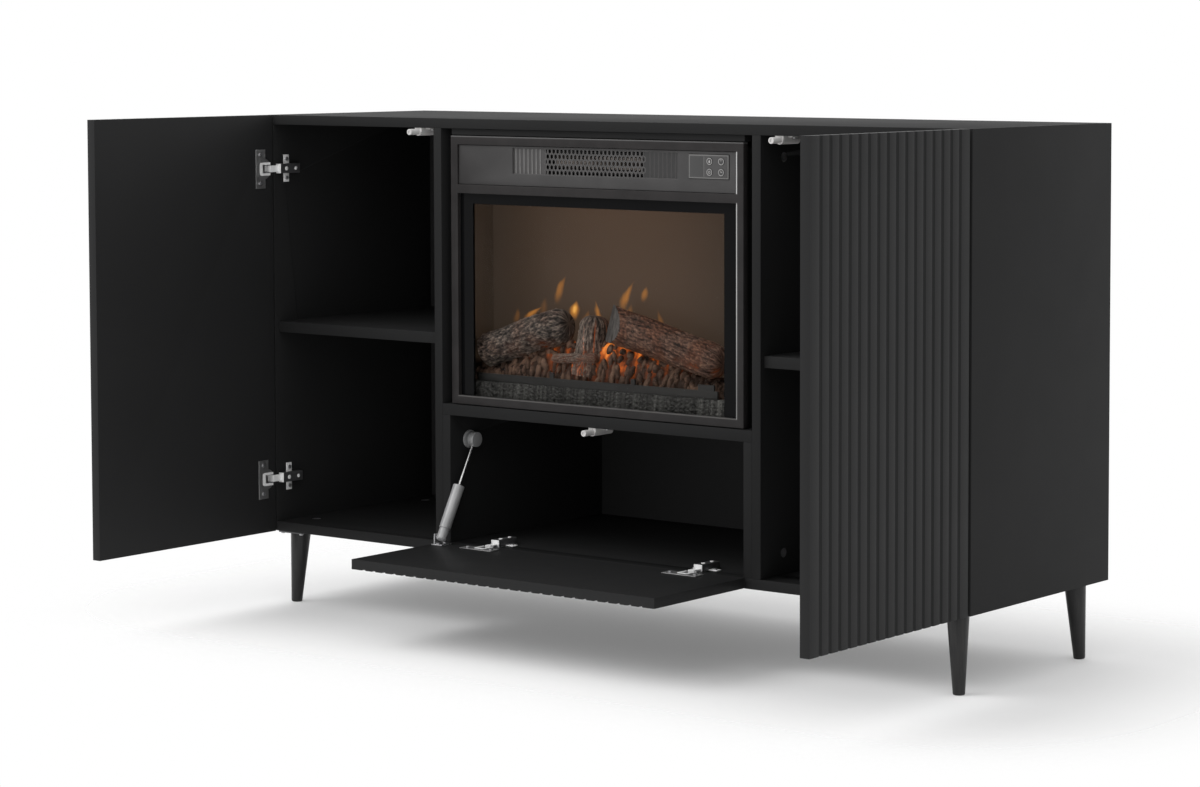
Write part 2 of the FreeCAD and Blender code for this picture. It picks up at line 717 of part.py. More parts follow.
def doors_and_flap(strut_seats):
    lift = V(0, 0, BODY_HEIGHT)
    panel = fluted_panel(door_w, DOOR_PITCH, -half + EDGE_REVEAL, lift)
    panel.translate(V(0, 0, base))
    cup_holes = [screw_hole(seat, bite) for seat, bite in cup_screw_places()]
    cuts = at_left(door_bore())
    for hole in cup_holes:
        cuts += at_left(hole)
    door = open_left(panel.cut(cuts))
    save("left_door", [door])
    save("right_door", [mirrored(door)])

    flap = fluted_panel(2 * flap_half, FLAP_PITCH, -flap_half, V(0, 0, flap_h))
    flap.translate(V(0, 0, base + EDGE_REVEAL))
    cuts = at_flap(door_bore())
    for hole in cup_holes:
        cuts += at_flap(hole)
    flap = open_flap(flap.cut(cuts)).cut([screw_hole(seat, -Z) for seat in strut_seats])
    save("flap", [flap])

    cup, pin, arm, plate = hinge_cup(), hinge_pin(), hinge_arm(), hinge_plate()
    cups = [open_left(c) for c in at_left(cup)]
    save("left_hinge_cups", cups)
    save("right_hinge_cups", [mirrored(c) for c in cups])
    save("flap_hinge_cups", [open_flap(c) for c in at_flap(cup)])
    cup_screws = [screw(seat, bite) for seat, bite in cup_screw_places()]
    left_screws = [open_left(s) for one in cup_screws for s in at_left(one)]
    save("left_cup_screws", left_screws)
    save("right_cup_screws", [mirrored(s) for s in left_screws])
    flap_screws = [open_flap(s) for one in cup_screws for s in at_flap(one)]
    save("flap_screws", flap_screws + [screw(seat, -Z) for seat in strut_seats])
    for node, piece in (("hinge_pins", pin), ("hinge_arms", arm), ("hinge_plates", plate)):
        save(node, at_left(piece) + at_right(piece) + at_flap(piece))
    plate_screws = [screw(seat, bite) for seat, bite in plate_screw_places()]
    plate_holes = [screw_hole(seat, bite) for seat, bite in plate_screw_places()]
    screws = [s for one in plate_screws for s in at_left(one) + at_right(one) + at_flap(one)]
    left_holes = [h for one in plate_holes for h in at_left(one)]
    flap_holes = [h for one in plate_holes for h in at_flap(one)]
    return screws, left_holes, flap_holes


# Fireplace insert

glass_half = INSERT_W / 2 - FRAME_EDGE
glass_low = insert_z + FRAME_EDGE
bar_low = insert_top - FRAME_EDGE - BAR_H
glass_high = bar_low - FRAME_EDGE
bar_high = bar_low + BAR_H
bar_half = glass_half
panel_x = bar_half - PANEL_EDGE - PANEL_W / 2
grille_half = panel_x - PANEL_W / 2 - GRILLE_GAP
mesh_half = grille_half - LOUVRE_BANK
bar_y = frame_y + BAR_RECESS
grille_z = (bar_low + bar_high) / 2 + GRILLE_RISE
lip_y = frame_back - GLASS_T
casing_half = INSERT_W / 2 - CASING_INSET
casing_in = casing_half - SHEET
casing_back = frame_y + INSERT_DEPTH
inlet_x = casing_half - INLET_EDGE
casing_top = insert_top - CASING_INSET
hearth = shelf_top + SHEET
duct_low = grille_z - GRILLE_H / 2 - GRILLE_LAP
duct_high = grille_z + GRILLE_H / 2 + GRILLE_LAP
clamp_back = frame_back + SHEET
duct_half = grille_half + GRILLE_LAP
duct_back = clamp_back + DUCT_DEPTH
rotor_at = V(0, frame_y + ROTOR_Y, shelf_top + ROTOR_Z)


def insert_shell():
    outer = box(-INSERT_W / 2, INSERT_W / 2, frame_y, frame_back, insert_z, insert_top)
    glass_hole = box(-glass_half, glass_half, frame_y - 1, frame_back + 1, glass_low, glass_high)
    glass_seat = box(-glass_half - GLASS_LAP, glass_half + GLASS_LAP, lip_y, frame_back + 1,
                     glass_low - GLASS_LAP, glass_high + GLASS_LAP)
    bar_hole = box(-bar_half, bar_half, frame_y - 1, frame_back + 1, bar_low, bar_high)
    save("insert_front_frame", [outer.cut([glass_hole, glass_seat, bar_hole])])
    room = GLASS_LAP - BAR_GAP
    save("front_glass", [box(-glass_half - room, glass_half + room, lip_y, frame_back,
                             glass_low - room, glass_high + room)])

    shell = box(-casing_half, casing_half, frame_back, casing_back, shelf_top, casing_top)
    hollow = box(-casing_in, casing_in, clamp_back, casing_back - SHEET, hearth, casing_top - SHEET)
    window = box(-glass_half - CLAMP_LAP, glass_half + CLAMP_LAP, frame_back - 1, clamp_back + 1,
                 glass_low - CLAMP_LAP, glass_high + CLAMP_LAP)
    air = box(-duct_half, duct_half, frame_back - 1, clamp_back + 1, duct_low, duct_high)
    board_way = box(panel_x - PANEL_W / 2, panel_x + PANEL_W / 2, frame_back - 1, clamp_back + 1,
                    grille_z - PANEL_H / 2, grille_z + PANEL_H / 2)
    inlet_z = insert_z + INLET_Z
    inlet_hole = box(inlet_x - INLET_W / 2, inlet_x + INLET_W / 2, casing_back - 2 * SHEET, casing_back + 1,
                     inlet_z - INLET_H / 2, inlet_z + INLET_H / 2)
    slots = []
    for i in range(REAR_SLOTS):
        z = grille_z + (i - (REAR_SLOTS - 1) / 2) * REAR_SLOT_PITCH
        slots.append(box(-duct_half, duct_half, casing_back - 2 * SHEET, casing_back + 1,
                         z - REAR_SLOT_H / 2, z + REAR_SLOT_H / 2))
    rim = V(casing_in - BEARING_LENGTH, 0, 0)
    bearing = bar(SHAFT_D, rotor_at + rim, rotor_at + V(casing_in, 0, 0))
    casing = shell.cut([hollow, window, air, board_way, inlet_hole] + slots)
    shaft_hole = bar(SHAFT_D / 2 + SHAFT_FIT, rotor_at + rim - V(1, 0, 0), rotor_at + V(casing_in - 1, 0, 0))
    save("insert_casing", [casing.fuse(bearing).removeSplitter().cut(shaft_hole)])

    inlet = box(inlet_x - INLET_W / 2 + BAR_GAP, inlet_x + INLET_W / 2 - BAR_GAP,
                casing_back - INLET_DEPTH, casing_back + INLET_RIM_T,
                inlet_z - INLET_H / 2 + BAR_GAP, inlet_z + INLET_H / 2 - BAR_GAP)
    rim_plate = box(inlet_x - INLET_W / 2 - INLET_RIM, inlet_x + INLET_W / 2 + INLET_RIM,
                    casing_back, casing_back + INLET_RIM_T,
                    inlet_z - INLET_H / 2 - INLET_WALL, inlet_z + INLET_H / 2 + INLET_WALL)
    socket_floor = casing_back - INLET_DEPTH + INLET_WALL
    socket = box(inlet_x - INLET_W / 2 + INLET_WALL, inlet_x + INLET_W / 2 - INLET_WALL,
                 socket_floor, casing_back + 2 * INLET_RIM_T,
                 inlet_z - INLET_H / 2 + INLET_WALL, inlet_z + INLET_H / 2 - INLET_WALL)
    blades = [box(inlet_x + i * INLET_BLADE_PITCH - 1, inlet_x + i * INLET_BLADE_PITCH + 1,
                  socket_floor, casing_back - 1, inlet_z - INLET_WALL, inlet_z + INLET_WALL)
              for i in (-1, 0, 1)]
    save("power_inlet", [join([join([inlet, rim_plate]).cut(socket)] + blades)])


def button_places():
    x0 = panel_x + BUTTON_SHIFT
    return [V(x0 + i * BUTTON_PITCH_X / 2, frame_y + BAR_RECESS, grille_z + j * BUTTON_PITCH_Z / 2)
            for j in (1, -1) for i in (-1, 1)]


def control_bar():
    gap = BAR_GAP
    body = box(-bar_half + gap, bar_half - gap, bar_y, frame_back, bar_low + gap, bar_high - gap)
    x0, x1 = panel_x - PANEL_W / 2, panel_x + PANEL_W / 2
    z0, z1 = grille_z - PANEL_H / 2, grille_z + PANEL_H / 2
    panel_floor = bar_y + PANEL_T - PANEL_PROUD
    grille_seat = bar_y + GRILLE_T
    mouth = box(-grille_half, grille_half, bar_y - 1, frame_back + 1,
                grille_z - GRILLE_H / 2, grille_z + GRILLE_H / 2)
    pocket = box(-duct_half, duct_half, grille_seat, frame_back + 1, duct_low, duct_high)
    panel_pocket = box(x0 - gap, x1 + gap, bar_y - 1, panel_floor, z0 - gap, z1 + gap)
    wells = [bar(BUTTON_D / 2 + BUTTON_FIT, spot, spot + Y * FRAME_T) for spot in button_places()]
    save("control_bar", [body.cut([mouth, pocket, panel_pocket] + wells)])

    face = bar_y - PANEL_PROUD
    panel = box(x0, x1, face, panel_floor, z0, z1)
    panel_wells = [bar(BUTTON_D / 2 + BUTTON_FIT, spot - Y * FRAME_T, spot + Y * FRAME_T)
                   for spot in button_places()]
    save("control_panel", [panel.cut(panel_wells)])
    stem_end = frame_back + SHEET / 2
    for node, spot in zip(("flame_button", "power_button", "heat_button", "timer_button"), button_places()):
        start = V(spot.x, face - BUTTON_PROUD, spot.z)
        save(node, [bar(BUTTON_D / 2, start, V(spot.x, stem_end, spot.z))])

    board_y = frame_back + BOARD_STANDOFF
    inset = CIRCUIT_INSET
    circuit = [box(x0 + inset, x1 - inset, board_y, board_y + CIRCUIT_T, z0 + inset, z1 - inset)]
    for z in (z0 + 2 * inset, z1 - 2 * inset):
        post_x = x0 + 2 * inset
        circuit.append(bar(STANDOFF_D / 2, V(post_x, frame_back, z), V(post_x, board_y, z)))
    for spot in button_places():
        switch_tip = V(spot.x, stem_end + SWITCH_GAP, spot.z)
        circuit.append(bar(SWITCH_D / 2, switch_tip, V(spot.x, board_y, spot.z)))
    circuit.append(box(x0 + 4 * inset, panel_x - inset, board_y + CIRCUIT_T, board_y + 3 * CIRCUIT_T,
                       grille_z - inset, grille_z + inset))
    save("control_board", [join(circuit)])


def air_grille():
    seat = bar_y + GRILLE_T
    wide, tall = duct_half - BAR_GAP, GRILLE_H / 2 + GRILLE_LAP - BAR_GAP
    outline = [V(-wide, seat, grille_z - tall), V(wide, seat, grille_z - tall),
               V(wide, seat, grille_z + tall), V(-wide, seat, grille_z + tall)]
    holes = []

    def window(x0, x1, z0, z1):
        holes.append([V(x0, seat, z0), V(x1, seat, z0), V(x1, seat, z1), V(x0, seat, z1)])

    pitch = LOUVRE_BANK / LOUVRE_COUNT
    slot_half = GRILLE_H / 2 - LOUVRE_END
    for s in (-1, 1):
        for i in range(LOUVRE_COUNT):
            x = s * (mesh_half + (i + 0.5) * pitch)
            window(x - LOUVRE_SLOT / 2, x + LOUVRE_SLOT / 2, grille_z - slot_half, grille_z + slot_half)
    columns = int((2 * mesh_half - MESH_PITCH) / MESH_PITCH)
    rows = int((GRILLE_H - MESH_PITCH / 2) / MESH_PITCH)
    for c in range(columns):
        for r in range(rows):
            x = (c - (columns - 1) / 2) * MESH_PITCH
            z = grille_z + (r - (rows - 1) / 2) * MESH_PITCH
            window(x - MESH_HOLE / 2, x + MESH_HOLE / 2, z - MESH_HOLE / 2, z + MESH_HOLE / 2)
    wires = [Part.makePolygon(points + points[:1]) for points in [outline] + holes]
    face = Part.Face(wires[0]).cut([Part.Face(w) for w in wires[1:]])
    save("air_grille", [face.Faces[0].extrude(Y * GRILLE_T)])


def heater():
    t = SHEET
    outer = box(-duct_half, duct_half, clamp_back, duct_back, duct_low, duct_high)
    inside = box(-duct_half + t, duct_half - t, clamp_back - 1, duct_back - t, duct_low + t, duct_high - t)
    axis_y = duct_back - WHEEL_D / 2 - 4 * t
    axis = V(0, axis_y, grille_z)
    end = duct_half - t
    wheel_half = end - MOTOR_LENGTH - WHEEL_END_GAP
    motor_start = V(-end, axis_y, grille_z)
    boss = bar(SHAFT_D, axis + V(end - BEARING_LENGTH, 0, 0), axis + V(end, 0, 0))
    bush = bar(SHAFT_D / 2 + SHAFT_FIT, axis + V(end - BEARING_LENGTH - 1, 0, 0), axis + V(end - 1, 0, 0))
    inlet_slots = []
    slot_count = int(2 * (duct_half - AIR_SLOT_MARGIN) / AIR_SLOT_PITCH)
    for i in range(slot_count):
        x = (i - (slot_count - 1) / 2) * AIR_SLOT_PITCH
        inlet_slots.append(box(x - AIR_SLOT_W / 2, x + AIR_SLOT_W / 2, duct_back - 2 * t, duct_back + 1,
                               grille_z - AIR_SLOT_H / 2, grille_z + AIR_SLOT_H / 2))
    duct = outer.cut([inside] + inlet_slots).fuse(boss).removeSplitter().cut(bush)
    rows = [grille_z + (i - (ELEMENT_COUNT - 1) / 2) * ELEMENT_PITCH for i in range(ELEMENT_COUNT)]
    element_y = clamp_back + 2 * ELEMENT_D
    elements = [bar(ELEMENT_D / 2, V(-end, element_y, z), V(end, element_y, z)) for z in rows]
    save("heater_unit", [duct] + elements)

    shaft = bar(SHAFT_D / 2, V(-end + MOTOR_LENGTH / 2, axis_y, grille_z), axis + V(end - 2, 0, 0))
    discs = [bar(WHEEL_D / 2, axis + V(x, 0, 0), axis + V(x + WHEEL_RIM_T, 0, 0))
             for x in (-wheel_half, -WHEEL_RIM_T / 2, wheel_half - WHEEL_RIM_T)]
    blade = box(-wheel_half, wheel_half, axis_y - BLADE_T / 2, axis_y + BLADE_T / 2,
                grille_z + WHEEL_D / 2 - BLADE_W, grille_z + WHEEL_D / 2)
    blade = blade.common(bar(WHEEL_D / 2, axis - V(wheel_half, 0, 0), axis + V(wheel_half, 0, 0)))
    blades = []
    for i in range(WHEEL_BLADES):
        turned = blade.copy()
        turned.rotate(axis, V(1, 0, 0), i * 360.0 / WHEEL_BLADES)
        blades.append(turned)
    save("blower_wheel", [join([shaft] + discs + blades)])

    blower_motor = bar(MOTOR_D / 2, motor_start, motor_start + V(MOTOR_LENGTH, 0, 0))
    blower_bore = bar(SHAFT_D / 2 + SHAFT_FIT, motor_start + V(MOTOR_LENGTH / 3, 0, 0), axis)
    rotor_start = rotor_at - V(casing_in, 0, 0)
    rotor_motor = bar(MOTOR_D / 2, rotor_start, rotor_start + V(MOTOR_LENGTH, 0, 0))
    rotor_bore = bar(SHAFT_D / 2 + SHAFT_FIT, rotor_start + V(MOTOR_LENGTH / 3, 0, 0), rotor_at)
    save("drive_motors", [blower_motor.cut(blower_bore), rotor_motor.cut(rotor_bore)])


def flame_works():
    shaft_start = rotor_at - V(casing_in - MOTOR_LENGTH / 2, 0, 0)
    shaft = bar(SHAFT_D / 2, shaft_start, rotor_at + V(casing_in - 2 * SHEET, 0, 0))
    flags = []
    rotor_half = casing_in - MOTOR_LENGTH - ROTOR_END_GAP
    step = 2 * rotor_half / ROTOR_FLAGS
    for i in range(ROTOR_FLAGS):
        x = -rotor_half + i * step
        flag = box(x, x + step * 0.8, rotor_at.y - FLAG_T / 2, rotor_at.y + FLAG_T / 2,
                   rotor_at.z - ROTOR_D / 2, rotor_at.z + ROTOR_D / 2)
        flag.rotate(rotor_at, V(1, 0, 0), i * 40.0)
        flags.append(flag)
    save("flame_rotor", [join([shaft] + flags)])
    screen_y = frame_y + SCREEN_Y
    screen_top = duct_low - SHEET
    save("flame_screen", [box(-casing_in, casing_in, screen_y, screen_y + SCREEN_T, hearth, screen_top)])
    led_y = screen_y + SCREEN_T + SHEET
    led_half = casing_in - LED_END
    save("led_strip", [box(-led_half, led_half, led_y, led_y + LED_W, hearth, hearth + LED_H)])


# Logs lie in the ember bed: each is a tapered round between two ends, given with their radii.
# Ends are measured across, back from the bed's front edge and up from the hearth. Outer ends of the
# long logs keep their distance from the casing's walls, and the other ends theirs from the middle.

LOGS = (
    ((LEFT_LOG_EDGE - casing_in, 36, 84), 27, (-100, 42, 138), 26),
    ((casing_in - RIGHT_LOG_EDGE, 36, 87), 28, (-8, 42, 141), 27),
    ((-52, 36, 50), 31, (-46, 38, 147), 25),
)

# The heap of embers between the logs, seen from the front: across from the middle and up from the hearth

MOUND = ((-250, 40), (-241, 62), (-150, 88), (-83, 104), (13, 106), (67, 94), (139, 70), (190, 40))
GRATE_POSTS = (-105, 59)


def fire_bed():
    y0 = clamp_back + BED_GAP
    y1 = y0 + BED_DEPTH
    half_bed = casing_in - BED_GAP
    ledge = y0 + BED_LEDGE
    rise = [(y0, 0), (y1, 0), (y1, BED_CREST_H), (y0 + BED_DEPTH * 0.6, BED_CREST_H),
            (ledge, BED_STEP_H), (ledge, BED_FRONT_H), (y0, BED_FRONT_H)]
    bed = prism([V(-half_bed, y, hearth + z) for y, z in rise], V(2 * half_bed, 0, 0))
    heap = [V(x, y0 + MOUND_FRONT, hearth + z) for x, z in MOUND]
    bed = join([bed, prism(heap, V(0, MOUND_BACK - MOUND_FRONT, 0))])
    logs = []
    for low, low_r, high, high_r in LOGS:
        a = V(low[0], y0 + low[1], hearth + low[2])
        b = V(high[0], y0 + high[1], hearth + high[2])
        log = Part.makeCone(low_r, high_r, (b - a).Length, a, b - a)
        if logs:
            log = log.cut(logs)
        logs.append(max(log.Solids, key=lambda solid: solid.Volume))
    save("log_set", logs)
    save("ember_bed", [max(bed.cut(logs).Solids, key=lambda solid: solid.Volume)])

    ledge_top = hearth + BED_FRONT_H
    left, right = GRATE_LEFT_END - half_bed, half_bed - GRATE_RIGHT_END
    bar_front, bar_back = ledge - GRATE_T - GRATE_GAP, ledge - GRATE_GAP
    bar_top = ledge_top + GRATE_LIFT + GRATE_BAR_H
    clip = right - GRATE_CLIP_END
    grate = [box(left, right, bar_front, bar_back, ledge_top + GRATE_LIFT, bar_top)]
    grate.append(box(clip - GRATE_CLIP_W, clip, bar_front, bar_back, ledge_top, bar_top + GRATE_POST_RISE))
    for x in GRATE_POSTS:
        grate.append(box(x - GRATE_POST_W / 2, x + GRATE_POST_W / 2, bar_front, bar_back,
                         ledge_top, bar_top + GRATE_POST_RISE))
    save("fire_grate", [join(grate)])


def main():
    leg_seats = legs()
    roof_seats, shelf_seats = latches()
    wall_seats, flap_seats = strut()
    screws, left_holes, flap_holes = doors_and_flap(flap_seats)
    right_leg_holes = [screw_hole(seat, Z) for seat in leg_seats]
    holes = {
        "left_side": left_holes,
        "inner": [screw_hole(seat, V(-1, 0, 0)) for seat in wall_seats],
        "top": [screw_hole(seat, Z) for seat in roof_seats],
        "shelf": [screw_hole(seat, Z) for seat in shelf_seats],
        "bottom": right_leg_holes + [mirrored(hole) for hole in right_leg_holes] + flap_holes,
    }
    screws += [screw(seat, V(-1, 0, 0)) for seat in wall_seats]
    screws += [screw(seat, Z) for seat in roof_seats + shelf_seats]
    leg_screws = [screw(seat, Z) for seat in leg_seats]
    save("body_screws", screws + leg_screws + [mirrored(s) for s in leg_screws])
    carcass(holes)
    insert_shell()
    control_bar()
    air_grille()
    heater()
    flame_works()
    fire_bed()
    print(len(written), "nodes")


main()
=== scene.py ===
"""Fireplace TV stand: dressed pieces, finishes and a studio stage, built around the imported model."""

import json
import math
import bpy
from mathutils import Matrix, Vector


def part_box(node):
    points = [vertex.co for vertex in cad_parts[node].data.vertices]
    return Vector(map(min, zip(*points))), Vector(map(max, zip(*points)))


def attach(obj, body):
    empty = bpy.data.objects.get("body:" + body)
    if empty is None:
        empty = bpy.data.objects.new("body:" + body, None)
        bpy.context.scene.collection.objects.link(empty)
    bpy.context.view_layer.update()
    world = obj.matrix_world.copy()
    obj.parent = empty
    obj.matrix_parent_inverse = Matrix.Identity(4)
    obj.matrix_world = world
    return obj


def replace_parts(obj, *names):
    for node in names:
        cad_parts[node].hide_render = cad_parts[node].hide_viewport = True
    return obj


bl_info = {
    "name": "Fireplace TV Stand",
    "version": (1, 0, 0),
    "blender": (4, 5, 0),
    "location": "View3D > Sidebar > TV Stand",
    "description": "Builds the dressed pieces, the finishes and the stage of a fireplace TV stand",
    "category": "Object",
}

from collections import namedtuple
from functools import partial

import bmesh
import bpy
from bpy.props import FloatProperty, FloatVectorProperty, IntProperty, PointerProperty
from mathutils import Matrix, Vector, noise

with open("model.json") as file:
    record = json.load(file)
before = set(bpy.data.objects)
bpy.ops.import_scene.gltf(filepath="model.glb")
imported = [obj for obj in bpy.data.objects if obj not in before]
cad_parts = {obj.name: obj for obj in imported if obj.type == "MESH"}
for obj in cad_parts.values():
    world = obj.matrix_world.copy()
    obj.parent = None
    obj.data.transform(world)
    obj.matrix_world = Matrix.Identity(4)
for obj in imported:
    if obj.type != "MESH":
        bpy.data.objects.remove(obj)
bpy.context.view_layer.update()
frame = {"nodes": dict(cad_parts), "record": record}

MM = 0.001
NODES = frame["nodes"]
BODIES = frame["record"]["behaviour"]["bodies"]
BODY_OF = {node: body for body, nodes in BODIES.items() for node in nodes}
SLOT_OF = {part["node"]: part["material_slot"] for part in frame["record"]["subparts"]}

# Faces that meet at less than the first turn count as one, and edges over the second as corners to round off
FLAT_TURN = math.radians(0.6)
CORNER_TURN = math.radians(32)
MERGE_STEP = 0.004 * MM

# Edges of boards that are shorter than this stay sharp
BOARD_EDGE = 12 * MM


# Node trees

def worked(operation):
    """A method that works a value together with what it is given."""
    return lambda self, *others: self.math(operation, self, *others)


def worked_back(operation):
    """The reflected method, for a plain number on the left."""
    return lambda self, other: self.math(operation, other, self)


class Value:
    """A node's output that takes part in plain arithmetic."""

    def __init__(self, graph, socket):
        self.graph = graph
        self.socket = socket

    def math(self, operation, *values):
        return self.graph.add("ShaderNodeMath", {"operation": operation}, dict(enumerate(values)))

    __add__ = __radd__ = worked("ADD")
    __mul__ = __rmul__ = worked("MULTIPLY")
    __sub__ = worked("SUBTRACT")
    __rsub__ = worked_back("SUBTRACT")
    __truediv__ = worked("DIVIDE")
    __rtruediv__ = worked_back("DIVIDE")
    __pow__ = worked("POWER")
    __rpow__ = worked_back("POWER")
    size = worked("ABSOLUTE")
    root = worked("SQRT")
    whole = worked("FLOOR")
    left_over = worked("MODULO")
    least = worked("MINIMUM")
    most = worked("MAXIMUM")
    is_under = worked("LESS_THAN")
    is_over = worked("GREATER_THAN")

    def rise(self, low, high):
        """0 below low, 1 above high, and a soft step between; low may be the larger one."""
        settings = {"interpolation_type": "SMOOTHSTEP", "clamp": True}
        ends = {"Value": self, 1: min(low, high), 2: max(low, high)}
        step = self.graph.add("ShaderNodeMapRange", settings, ends)
        return step if low < high else 1.0 - step

    def near(self, place, half, soft):
        """1 within half of a place, and 0 where it is further off by soft."""
        return (self - place).size().rise(half + soft, half)


class Graph:
    """Adds nodes to one tree. Sockets take numbers, colours, materials, other outputs or lists of them."""

    def __init__(self, tree):
        self.tree = tree

    def add(self, kind, settings=None, sockets=None, output=0):
        """Adds any node, with its settings and sockets, and gives one of its outputs."""
        node = self.tree.nodes.new(kind)
        for key, value in (settings or {}).items():
            if key == "stops":
                self.set_stops(node.color_ramp, value)
            else:
                setattr(node, key, value)
        for key, value in (sockets or {}).items():
            links = value if isinstance(value, list) else [value]
            for link in links:
                if isinstance(link, Value):
                    self.tree.links.new(link.socket, node.inputs[key])
                else:
                    node.inputs[key].default_value = link
        if not node.outputs:
            return None
        return Value(self, node.outputs[output])

    @staticmethod
    def set_stops(ramp, stops):
        while len(ramp.elements) < len(stops):
            ramp.elements.new(1.0)
        for element, (place, shade) in zip(ramp.elements, stops):
            element.position = place
            element.color = shade

    def more(self, value, output):
        """Another output of the node that a value comes from."""
        return Value(self, value.socket.node.outputs[output])

    def parts(self, vector):
        x = self.add("ShaderNodeSeparateXYZ", None, {0: vector})
        return x, self.more(x, 1), self.more(x, 2)

    def vector(self, x, y, z):
        return self.add("ShaderNodeCombineXYZ", None, {0: x, 1: y, 2: z})

    def scaled(self, vector, factors):
        return self.add("ShaderNodeVectorMath", {"operation": "MULTIPLY"}, {0: vector, 1: factors})


class Finish(Graph):
    """One material and the nodes that paint it."""

    def __init__(self, name):
        self.material = bpy.data.materials.new(name)
        self.material.use_nodes = True
        super().__init__(self.material.node_tree)
        self.tree.nodes.clear()
        self.place = self.add("ShaderNodeTexCoord", None, None, "Object")

    def noise(self, scale, detail=3.0, roughness=0.5, stretch=None, warp=0.0):
        where = self.scaled(self.place, stretch) if stretch else self.place
        return self.add("ShaderNodeTexNoise", None, {
            "Vector": where, "Scale": scale, "Detail": detail, "Roughness": roughness, "Distortion": warp})

    def cells(self, scale, feature="F1"):
        return self.add("ShaderNodeTexVoronoi", {"feature": feature}, {"Vector": self.place, "Scale": scale})

    def mark(self, name):
        """A value that the mesh keeps at its points."""
        return self.add("ShaderNodeAttribute", {"attribute_name": name}, None, "Fac")

    def mix(self, factor, first, second):
        settings = {"data_type": "RGBA"}
        return self.add("ShaderNodeMix", settings, {0: factor, 6: colour(first), 7: colour(second)}, 2)

    def ramp(self, factor, stops):
        return self.add("ShaderNodeValToRGB", {"stops": [(at, colour(c)) for at, c in stops]}, {0: factor})

    def bump(self, height, depth, strength):
        sockets = {"Height": height, "Distance": depth, "Strength": strength}
        return self.add("ShaderNodeBump", None, sockets)

    def surface(self, sockets):
        return self.close(self.add("ShaderNodeBsdfPrincipled", None, sockets))

    def close(self, shader):
        self.add("ShaderNodeOutputMaterial", None, {"Surface": shader})
        return self.material


def colour(value):
    """A colour of three numbers gets its alpha; links and whole colours pass."""
    if isinstance(value, Value) or len(value) == 4:
        return value
    return (*value, 1.0)


def tint(value, factor):
    return tuple(channel * factor for channel in tuple(value)[:3])


# Settings

def length_setting(name, description, millimetres):
    return FloatProperty(name=name, description=description, unit="LENGTH", default=millimetres * MM)


def colour_setting(name, description, default):
    return FloatVectorProperty(
        name=name, description=description, subtype="COLOR", size=3, min=0.0, max=1.0, default=default)


class BoardSettings(bpy.types.PropertyGroup):
    """Colours and edges of the boards."""
    carcass_colour: colour_setting("Carcass", "Colour of the carcass boards", (0.0178, 0.0179, 0.0181))
    front_colour: colour_setting("Fronts", "Colour of the fluted doors and flap", (0.0190, 0.0191, 0.0194))
    edge_round: length_setting("Edge round", "Rounding of the boards' edges", 0.7)


class FluteSettings(bpy.types.PropertyGroup):
    """Sizes of the flutes in the doors and the flap."""
    door_pitch: length_setting("Door pitch", "Wanted distance between the doors' flutes", 23.0)
    flap_pitch: length_setting("Flap pitch", "Wanted distance between the flap's flutes", 21.2)
    margin: length_setting("Margin", "From a panel's edge to the first flute", 25.5)
    width: length_setting("Width", "Width of one flute", 7.5)
    depth: length_setting("Depth", "Depth of one flute", 2.6)


class GrilleSettings(bpy.types.PropertyGroup):
    """Sizes of the air grille."""
    mesh_half: length_setting("Mesh half width", "Half the width of the perforated middle", 103.0)
    mesh_pitch: length_setting("Mesh pitch", "Distance across between the perforations", 8.0)
    mesh_row: length_setting("Mesh row", "Distance up between the rows of perforations", 8.4)
    mesh_web: length_setting("Mesh web", "Metal between two perforations", 2.8)
    louvres: IntProperty(
        name="Louvres", description="Upright slats on each side of the mesh", default=7, min=1)
    louvre_turn: FloatProperty(
        name="Louvre turn", description="How far the slats turn away from the mesh", subtype="ANGLE",
        default=math.radians(36))
    fin_pitch: length_setting("Fin pitch", "Distance between the heater's fins", 7.8)


class FireSettings(bpy.types.PropertyGroup):
    """Colours and sizes of the fire bed."""
    glow_colour: colour_setting("Glow", "Colour of the lit embers", (1.0, 0.2, 0.025))
    flame_colour: colour_setting("Flame", "Colour of the flames on the screen", (0.62, 0.24, 0.04))
    ember_cell: length_setting("Ember width", "Width of one charred finger", 12.5)
    ash_cell: length_setting("Ash width", "Width of one ash ridge", 6.0)
    coal_girth: length_setting("Coal girth", "Half the width of one charred lump", 6.4)
    coal_length: length_setting("Coal length", "Half the length of one charred lump", 15.0)


class StageSettings(bpy.types.PropertyGroup):
    """The studio."""
    floor_colour: colour_setting("Floor", "Colour of the floor", (0.9, 0.9, 0.9))
    key_power: FloatProperty(
        name="Key lamp", description="Watts of the soft lamp above the left front", default=46.0, min=0.0)
    ambient: FloatProperty(
        name="Ambient", description="Level of the room's even light", default=0.97, min=0.0)


class StandSettings(bpy.types.PropertyGroup):
    """All settings of the stand."""
    boards: PointerProperty(type=BoardSettings)
    flutes: PointerProperty(type=FluteSettings)
    grille: PointerProperty(type=GrilleSettings)
    fire: PointerProperty(type=FireSettings)
    stage: PointerProperty(type=StageSettings)


def settings():
    return bpy.context.scene.tv_stand


# Finishes, listed by name: the record's slots, and a few for pieces that differ from their slot

FINISHES = {}
PAINTED = {}


def finish(recipe):
    """Lists a finish under its function's name."""
    FINISHES[recipe.__name__] = recipe
    return recipe


def list_finishes(recipe, table):
    """Lists a finish for each row of a table of looks."""
    for name, looks in table.items():
        FINISHES[name] = partial(recipe, looks=looks)


def finish_of(name):
    """The finish of that name, painted when it is first asked for."""
    if name not in PAINTED:
        PAINTED[name] = FINISHES[name](Finish(name))
    return PAINTED[name]


# Boards and legs

